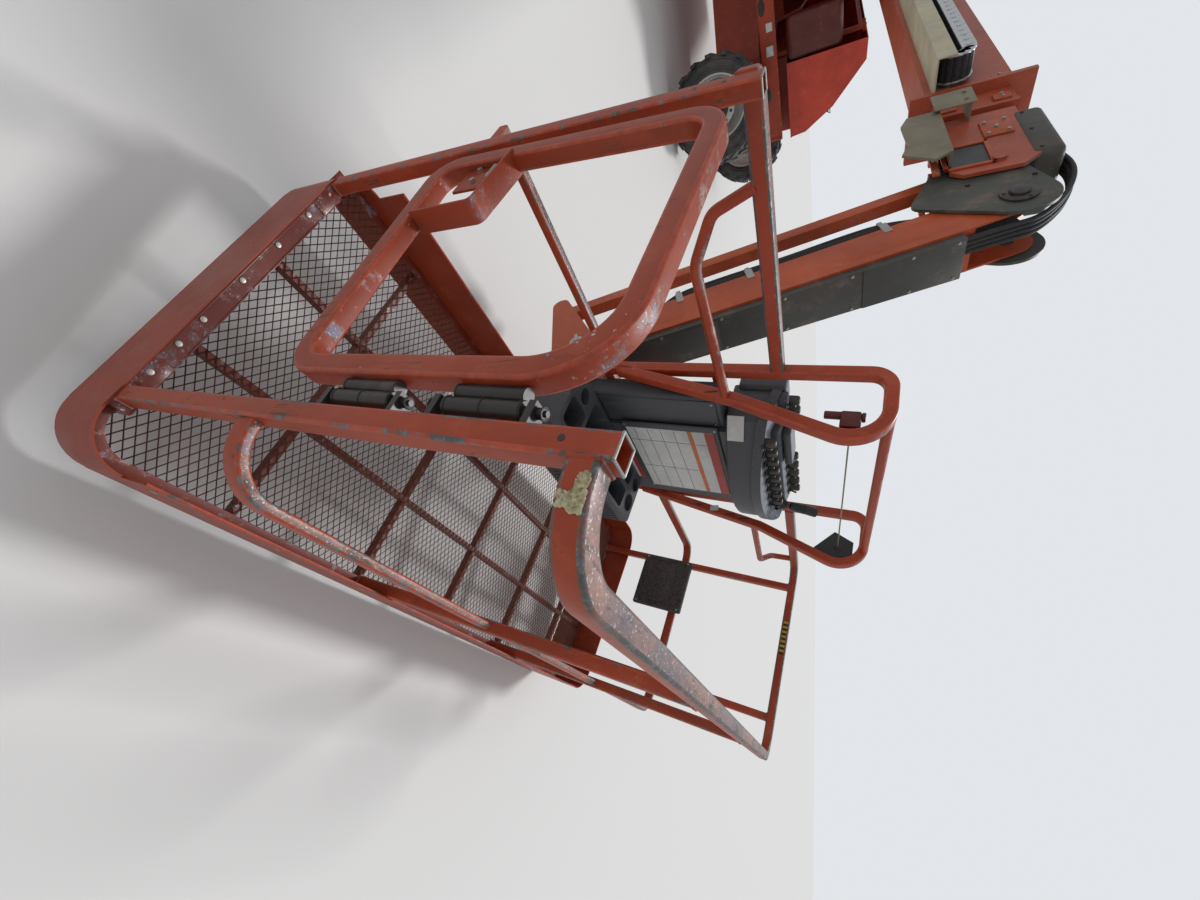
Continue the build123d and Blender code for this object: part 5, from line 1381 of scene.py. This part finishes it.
class BOOMLIFT_OT_boom(bpy.types.Operator):
    """Adds the boom's wear pads and bolts, and the nose's recess as a black sheet of painted shade, its
    frames, side plate and cover
    """

    bl_idname = "boomlift.boom"
    bl_label = "Boom"

    def execute(self, context):
        # columns: section, half width, half height, mouth
        for body, half, tall, mouth in (("boom_base", 130, 180, -4570), ("boom_mid", 111, 161, -4750)):
            steel, pads = bmesh.new(), bmesh.new()
            for side in (-1, 1):
                x = side * (half + 2)
                for z in (BOOM_Z - tall + 55, BOOM_Z + tall - 55):
                    add_block(pads, (x - 10, mouth + 6, z - 34), (x + 10, mouth + 70, z + 34), 3, 2)
                    for y in (mouth + 22, mouth + 54):
                        add_bolt(steel, (side * (half + 12), y, z), (side, 0, 0), 8.0)
            top = BOOM_Z + tall + 10
            for x in (-half + 40, half - 40):
                add_block(pads, (x - 30, mouth + 6, top - 12), (x + 30, mouth + 70, top), 3, 2)
                for y in (mouth + 22, mouth + 54):
                    add_bolt(steel, (x, y, top), (0, 0, 1), 8.0)
            add_piece(body + "_pads", pads, "jib_paint", body, MACHINE)
            add_piece(body + "_pad_bolts", steel, "bolt_steel", body, MACHINE)
        # A black sheet in each of the nose's frames: painted shade for the recess
        bm = bmesh.new()
        for side in (-1, 1):
            x = side * 134
            add_block(bm, (x, -5361, 2020), (x + side * 1.6, -5175, 2176), 0.6, 1)
        add_piece("nose_recess_shade", bm, "black_plastic", "boom_fly", MACHINE)
        bm = bmesh.new()
        for side in (-1, 1):
            x = side * 134
            # columns: y from, y to, z from, z to
            sides = ((-5372, -5164, 2170, 2186), (-5372, -5164, 2010, 2026), (-5372, -5356, 2010, 2186),
                     (-5180, -5164, 2010, 2186))
            for y0, y1, z0, z1 in sides:
                add_block(bm, (x, y0, z0), (x + side * 8, y1, z1), 2, 2)
            add_block(bm, (x, -5392, 1968), (x + side * 12, -4960, 1994), 3, 2)
            add_block(bm, (x, -5140, 2180), (x + side * 7, -4990, 2286), 3, 2)
        add_piece("nose_frames", bm, "jib_paint", "boom_fly", MACHINE)
        bm = bmesh.new()
        for side in (-1, 1):
            for y, z in ((-5120, 2198), (-5010, 2198), (-5120, 2268), (-5010, 2268), (-5066, 2233)):
                add_bolt(bm, (side * 141, y, z), (side, 0, 0), 9)
            for y in range(-5370, -4970, 95):
                add_bolt(bm, (side * 146, y, 1981), (side, 0, 0), 8)
        add_piece("nose_bolts", bm, "bolt_steel", "boom_fly", MACHINE)
        bm = bmesh.new()
        add_block(bm, (-218, -4944, 2015), (-212, -4770, 2175), 3, 2)
        add_block(bm, (-212, -4930, 2150), (-134, -4790, 2160), 2, 2)
        for y in (-4900, -4820):
            add_bolt(bm, (-218, y, 2140), (-1, 0, 0), 9)
        add_piece("nose_side_plate", bm, "olive", "boom_fly", MACHINE)
        # The nose's cover takes the head's dark paint, which is partly painted shade
        bm = bmesh.new()
        add_block(bm, (-141, -5366, 2298), (141, -4950, 2412), 30, 4)
        add_block(bm, (-9, -5300, 2404), (9, -5252, 2432), 7, 3)
        for side in (-1, 1):
            for y in (-5330, -5160, -4990):
                add_bolt(bm, (side * 140, y, 2334), (side, 0, 0), 8)
        add_piece("nose_cover", bm, "head_paint", "boom_fly", MACHINE)
        return {"FINISHED"}


class BOOMLIFT_OT_carrier(bpy.types.Operator):
    """Makes the links of the hose carrier in its channel"""

    bl_idname = "boomlift.carrier"
    bl_label = "Hose carrier"

    def execute(self, context):
        x0, x1 = -277.5, -152.5
        start, pitch = -4425, 80
        bright, dark = bmesh.new(), bmesh.new()
        for y in range(start, 440, pitch):
            # The lower and the upper run
            for z0, z1 in ((2064, 2134), (2172, 2243)):
                for x in (x0, x1 - 10):
                    add_block(bright, (x, y + 4, z0 + 3), (x + 10, y + pitch + 6, z1 - 3), 8, 2)
                    z = (z0 + z1) / 2
                    add_rod(bright, (x - 1.5, y + 14, z), (x + 11.5, y + 14, z), 12, 16)
                add_rod(bright, (x0 + 6, y + 40, z1 - 8), (x1 - 6, y + 40, z1 - 8), 7, 10)
                add_rod(bright, (x0 + 6, y + 70, z1 - 8), (x1 - 6, y + 70, z1 - 8), 7, 10)
                add_block(dark, (x0 + 12, y, z0 + 8), (x1 - 12, y + pitch, z1 - 20), 0)
        # The links round the bend
        for k in range(7):
            turn = math.radians(-80 + 160 / 6 * k)
            at = Vector((0, start - 62 * math.cos(turn), 2153.5 + 54 * math.sin(turn)))
            for x in (x0, x1 - 10):
                add_rod(bright, (x, at.y, at.z), (x + 10, at.y, at.z), 30, 18, bevel=2)
            add_rod(dark, (x0 + 10, at.y, at.z), (x1 - 10, at.y, at.z), 22, 14)
        links = add_piece("carrier_links", bright, "carrier_metal", "boom_base", MACHINE, smooth=35)
        add_piece("carrier_inside", dark, "hose_rubber", "boom_base", MACHINE, smooth=35)
        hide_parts("hose_track")
        return {"FINISHED"}


class BOOMLIFT_OT_turntable(bpy.types.Operator):
    """Adds a dark red cowl of painted shade at the turntable's front, the front panel, latches and blank
    plates, and the tail's and hoods' trim
    """

    bl_idname = "boomlift.turntable"
    bl_label = "Turntable"

    def execute(self, context):
        # A dark red block over the turntable's front: painted shade that stands in for the shaded front of
        # the hoods
        bm = bmesh.new()
        add_block(bm, (20, FRONT + 34, 1208), (396, FRONT + 190, 1735), 60, 6)
        add_piece("front_cowl_painted_shade", bm, "dark_red", "turntable", MACHINE)
        bm = bmesh.new()
        # columns: middle x, middle z, half width, half height
        for x, z, w, h in ((35, 1059, 36, 30), (234, 1051, 44, 34), (-420, 1080, 60, 40)):
            add_block(bm, (x - w, FRONT - 22.4, z - h), (x + w, FRONT - 19, z + h), 2, 2)
        add_piece("front_plates", bm, "white_plate", "turntable", MACHINE)
        bm = bmesh.new()
        add_block(bm, (-1100, FRONT - 20, 958), (1100, FRONT + 6, 1118), 12, 3)
        for x in (-1090, 1062):
            add_block(bm, (x, FRONT - 26, 963), (x + 28, FRONT + 2, 1112), 6, 2)
        add_piece("front_panel", bm, "weight_paint", "turntable", MACHINE)
        bm = bmesh.new()
        for x in (-138, 620, -780):
            bmesh.ops.create_uvsphere(
                bm, u_segments=28, v_segments=12, radius=1.0,
                matrix=Matrix.Translation((x, FRONT - 20, 1000)) @ Matrix.Diagonal((72, 6, 32, 1)))
            add_block(bm, (x - 30, FRONT - 30, 992), (x + 34, FRONT - 24, 1008), 3, 2)
        add_piece("front_latches", bm, "black_plastic", "turntable", MACHINE)
        self.tail()
        self.hood("hood_left", -1)
        self.hood("hood_right", 1)
        return {"FINISHED"}

    def tail(self):
        """The counterweight's bolts, lamps, lugs and plate, the boom's pivot caps and the trays' seams."""
        bolts, lamps = bmesh.new(), bmesh.new()
        for x, z in ((-620, 1160), (-620, 1640), (620, 1160), (620, 1640), (-210, 1160), (210, 1160)):
            out = Vector((x, math.sqrt(TAIL ** 2 - x * x), 0)) / TAIL
            add_bolt(bolts, Vector((0, 0, z)) + out * TAIL, out, 26)
        for x, z in ((-860, 1260), (860, 1260), (-860, 1350), (860, 1350)):
            out = Vector((x, math.sqrt(TAIL ** 2 - x * x), 0)) / TAIL
            at = Vector((0, 0, z)) + out * (TAIL - 4)
            add_rod(bolts, at, at + out * 10, 42, 32, bevel=3)
            add_rod(lamps, at + out * 9, at + out * 17, 34, 28, bevel=5)
        for x in (-700, 700):
            add_block(bolts, (x - 12, 1960, 1796), (x + 12, 2100, 1824), 6)
            add_ring(bolts, (x, 2030, 1842), (1, 0, 0), 34, 11, 32, 10)
        for side in (-1, 1):
            add_rod(bolts, (side * 184, 1450, 2150), (side * 199, 1450, 2150), 62, 36, bevel=4)
            add_bolt(bolts, (side * 198, 1450, 2150), (side, 0, 0), 20)
        plate = bmesh.new()
        add_block(plate, (-190, TAIL - 14, 1420), (190, TAIL + 5, 1560), 2, 2)
        seams = bmesh.new()
        for side in (-1, 1):
            for y in (-700, -120, 460, 1040):
                x = side * 1120
                add_block(seams, (x, y - 3, 1040), (x + 5 * side, y + 3, 1190), 1.5, 1)
            x = side * 1119
            add_block(seams, (x, -480, 1034), (x + 26 * side, -180, 1064), 6, 2)
        add_piece("tail_bolts", bolts, "bolt_steel", "turntable", MACHINE)
        add_piece("tail_lamps", lamps, "red_band", "turntable", MACHINE)
        add_piece("tail_plate", plate, "white_plate", "turntable", MACHINE)
        add_piece("tray_seams", seams, "dark_paint", "turntable", MACHINE)

    def hood(self, name, side):
        """A hood's louvres, latches, lower rubber strip and the two seams over it."""
        # The hood's slanting face leans in by 180 for every 280 up
        lean = side * (math.pi / 2 - math.atan2(280, 180))
        face = Matrix.Translation((side * 1010, 0, 1500)) @ Matrix.Rotation(lean, 4, "Y")
        louvres = bmesh.new()
        for y in (-900, 620):
            for k in range(6):
                at = -100 + 40 * k
                add_block(louvres, (-3, y, at), (9, y + 460, at + 20), 5, 2)
            for z0, z1 in ((-122, -114), (134, 142)):
                add_block(louvres, (-3, y - 16, z0), (5, y + 476, z1), 2, 1)
            for y0 in (y - 16, y + 468):
                add_block(louvres, (-3, y0, -122), (5, y0 + 8, 142), 2, 1)
        if side < 0:
            bmesh.ops.scale(louvres, vec=(-1, 1, 1), verts=louvres.verts)
        bmesh.ops.transform(louvres, matrix=face, space=Matrix.Identity(4), verts=louvres.verts)
        latches, strip = bmesh.new(), bmesh.new()
        for y in (-800, 300, 1400):
            add_block(latches, (side * 1106, y - 46, 1256), (side * 1124, y + 46, 1300), 5, 2)
            add_block(latches, (side * 1122, y - 30, 1270), (side * 1130, y + 30, 1286), 3, 2)
        add_block(strip, (side * 1112, -1218, 1198), (side * 1126, 1688, 1212), 4, 2)
        seams = bmesh.new()
        for y in (-240, 520):
            profile = ((584, 1951), (921, 1641), (1101, 1361), (1121, 1216))
            add_tube(seams, [(side * x, y, z) for x, z in profile], [30.0, 30.0], 5, 26, (0, 1, 0), 1.5)
        add_piece(name + "_louvres", louvres, "dark_paint", name, MACHINE)
        add_piece(name + "_latches", latches, "black_plastic", name, MACHINE)
        add_piece(name + "_strip", strip, "hose_rubber", name, MACHINE)
        add_piece(name + "_seams", seams, "hood_paint", name, MACHINE)


class BOOMLIFT_OT_wheels(bpy.types.Operator):
    """Adds hub rings, wheel bolts and the tyres' side rings"""

    bl_idname = "boomlift.wheels"
    bl_label = "Wheels"

    def execute(self, context):
        for end in ("front", "rear"):
            for hand in ("left", "right"):
                self.wheel(end + "_" + hand)
        return {"FINISHED"}

    def wheel(self, name):
        """One wheel's trim, drawn round its tyre's centre with z out along the axle."""
        body = body_of(NODES["rim_" + name])[0]
        low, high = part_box("tyre_" + name)
        centre = (Vector(low) + Vector(high)) / 2
        way = (centre - (SWING + Vector((0, 0, centre.z)))).normalized()
        axle = CHASSIS.to_3x3().normalized() @ Vector((0, 1, 0))
        out = axle if axle.dot(way) > 0 else -axle
        turn = out.to_track_quat("Z", "Y").to_matrix().to_4x4()
        place = Matrix.Translation(centre) @ turn @ Matrix.Scale(MM, 4)
        bm = bmesh.new()
        # columns: radius, thickness, place out from the tyre's middle
        for radius, thick, side in ((352, 7, 174.5), (384, 5, 174.5), (432, 5, 165.5)):
            for z in (side, -side):
                add_ring(bm, (0, 0, z), (0, 0, 1), radius, thick, 64, 8)
        add_piece("tyre_rings_" + name, bm, "tyre_rubber", body, place)
        bm = bmesh.new()
        # The face of the wheel's disc, out from the tyre's middle
        face = 95
        add_ring(bm, (0, 0, face), (0, 0, 1), 292, 5, 64, 8)
        add_rod(bm, (0, 0, face - 2), (0, 0, face + 10), 190, 48, bevel=4)
        add_piece("wheel_disc_" + name, bm, "rim_paint", body, place)
        bm = bmesh.new()
        add_rod(bm, (0, 0, face + 6), (0, 0, face + 30), 128, 40, bevel=5)
        add_rod(bm, (0, 0, face + 28), (0, 0, face + 66), 84, 32, radius_end=70, bevel=6)
        for k in range(10):
            angle = math.tau * k / 10
            add_bolt(bm, (158 * math.cos(angle), 158 * math.sin(angle), face + 9), (0, 0, 1), 15)
        for k in range(12):
            angle = math.tau * (k + 0.5) / 12
            at = (106 * math.cos(angle), 106 * math.sin(angle), face + 29)
            add_bolt(bm, at, (0, 0, 1), 8, washer=False)
        add_piece("wheel_hub_" + name, bm, "dark_paint", body, place)


# The photograph's camera: its place, and its axes to the right, up and back
CAMERA_AT = Vector((-1331.6, -7791.6, 1560.1))
CAMERA_AXES = (
    (0.34133, 0.259363, 0.903451), (-0.619924, 0.784611, 0.008965), (-0.706533, -0.563131, 0.428597),
)
# How bright the backdrop is to the camera, where 1 is white
BACKDROP = 0.82


class BOOMLIFT_OT_stage(bpy.types.Operator):
    """Adds the camera, the pale floor and the studio light"""

    bl_idname = "boomlift.stage"
    bl_label = "Stage"

    def execute(self, context):
        values = context.scene.boomlift_stage
        data = bpy.data.cameras.new("photo_camera")
        data.sensor_width = 36.0
        data.lens = values.lens
        data.clip_start = 0.02
        data.clip_end = 200.0
        camera = bpy.data.objects.new("photo_camera", data)
        context.scene.collection.objects.link(camera)
        turn = Matrix(CAMERA_AXES).transposed().to_4x4()
        camera.matrix_world = Matrix.Translation(MACHINE @ CAMERA_AT) @ turn
        context.scene.camera = camera

        bm = bmesh.new()
        bmesh.ops.create_grid(bm, x_segments=1, y_segments=1, size=60.0)
        floor = finish_mesh("studio_floor", bm, self.floor_material(values))

        sun_data = bpy.data.lights.new("key", "SUN")
        sun_data.energy = values.key_strength
        sun_data.angle = math.radians(12)
        sun = bpy.data.objects.new("key", sun_data)
        context.scene.collection.objects.link(sun)
        sun.rotation_euler = Vector((-0.55, -0.35, -0.75)).to_track_quat("-Z", "Y").to_euler()
        self.world(context, values)
        context.scene.view_settings.view_transform = "Standard"
        return {"FINISHED"}

    def floor_material(self, values):
        made = Finish("studio_floor")
        made.fill(made.shader.inputs["Base Color"], [values.floor_grey * part for part in (1, 0.985, 0.96)])
        made.shader.inputs["Roughness"].default_value = 0.9
        return made.material

    def world(self, context, values):
        world = bpy.data.worlds.new("studio")
        context.scene.world = world
        world.use_nodes = True
        nodes = Nodes(world.node_tree)
        back = nodes.tree.nodes["Background"]
        paths = nodes.tree.nodes.new("ShaderNodeLightPath").outputs
        seen = nodes.maths("MAXIMUM", paths["Is Camera Ray"], paths["Is Transmission Ray"])
        nodes.fill(back.inputs["Strength"], nodes.ramp(seen, 0.0, 1.0, values.fill_strength, BACKDROP))
        nodes.fill(back.inputs["Color"], (0.93, 0.96, 1.0))


class BOOMLIFT_PT_panel(bpy.types.Panel):
    """Lists the steps that dress the boom lift"""

    bl_idname = "BOOMLIFT_PT_panel"
    bl_label = "Boom Lift"
    bl_space_type = "VIEW_3D"
    bl_region_type = "UI"
    bl_category = "Boom Lift"

    def draw(self, context):
        column = self.layout.column()
        for operator in OPERATORS:
            column.operator(operator.bl_idname)
        for settings in (context.scene.boomlift_stage, context.scene.boomlift_platform):
            box = self.layout.box()
            for name in settings.bl_rna.properties.keys():
                if name not in ("rna_type", "name"):
                    box.prop(settings, name)


OPERATORS = (
    BOOMLIFT_OT_finishes, BOOMLIFT_OT_floor, BOOMLIFT_OT_rails, BOOMLIFT_OT_foam, BOOMLIFT_OT_gate,
    BOOMLIFT_OT_hinge_trim, BOOMLIFT_OT_guard, BOOMLIFT_OT_sill, BOOMLIFT_OT_tray, BOOMLIFT_OT_console,
    BOOMLIFT_OT_controls, BOOMLIFT_OT_pad, BOOMLIFT_OT_jib, BOOMLIFT_OT_hoses, BOOMLIFT_OT_head,
    BOOMLIFT_OT_boom, BOOMLIFT_OT_carrier, BOOMLIFT_OT_turntable, BOOMLIFT_OT_wheels, BOOMLIFT_OT_stage,
)
CLASSES = (StageSettings, PlatformSettings, *OPERATORS, BOOMLIFT_PT_panel)


def register():
    for item in CLASSES:
        bpy.utils.register_class(item)
    bpy.types.Scene.boomlift_stage = bpy.props.PointerProperty(type=StageSettings)
    bpy.types.Scene.boomlift_platform = bpy.props.PointerProperty(type=PlatformSettings)


def unregister():
    del bpy.types.Scene.boomlift_platform
    del bpy.types.Scene.boomlift_stage
    for item in reversed(CLASSES):
        bpy.utils.unregister_class(item)


def main():
    """Dresses the boom lift."""
    register()
    for operator in OPERATORS:
        group, name = operator.bl_idname.split(".")
        getattr(getattr(bpy.ops, group), name)()


if __name__ == "__main__":
    main()
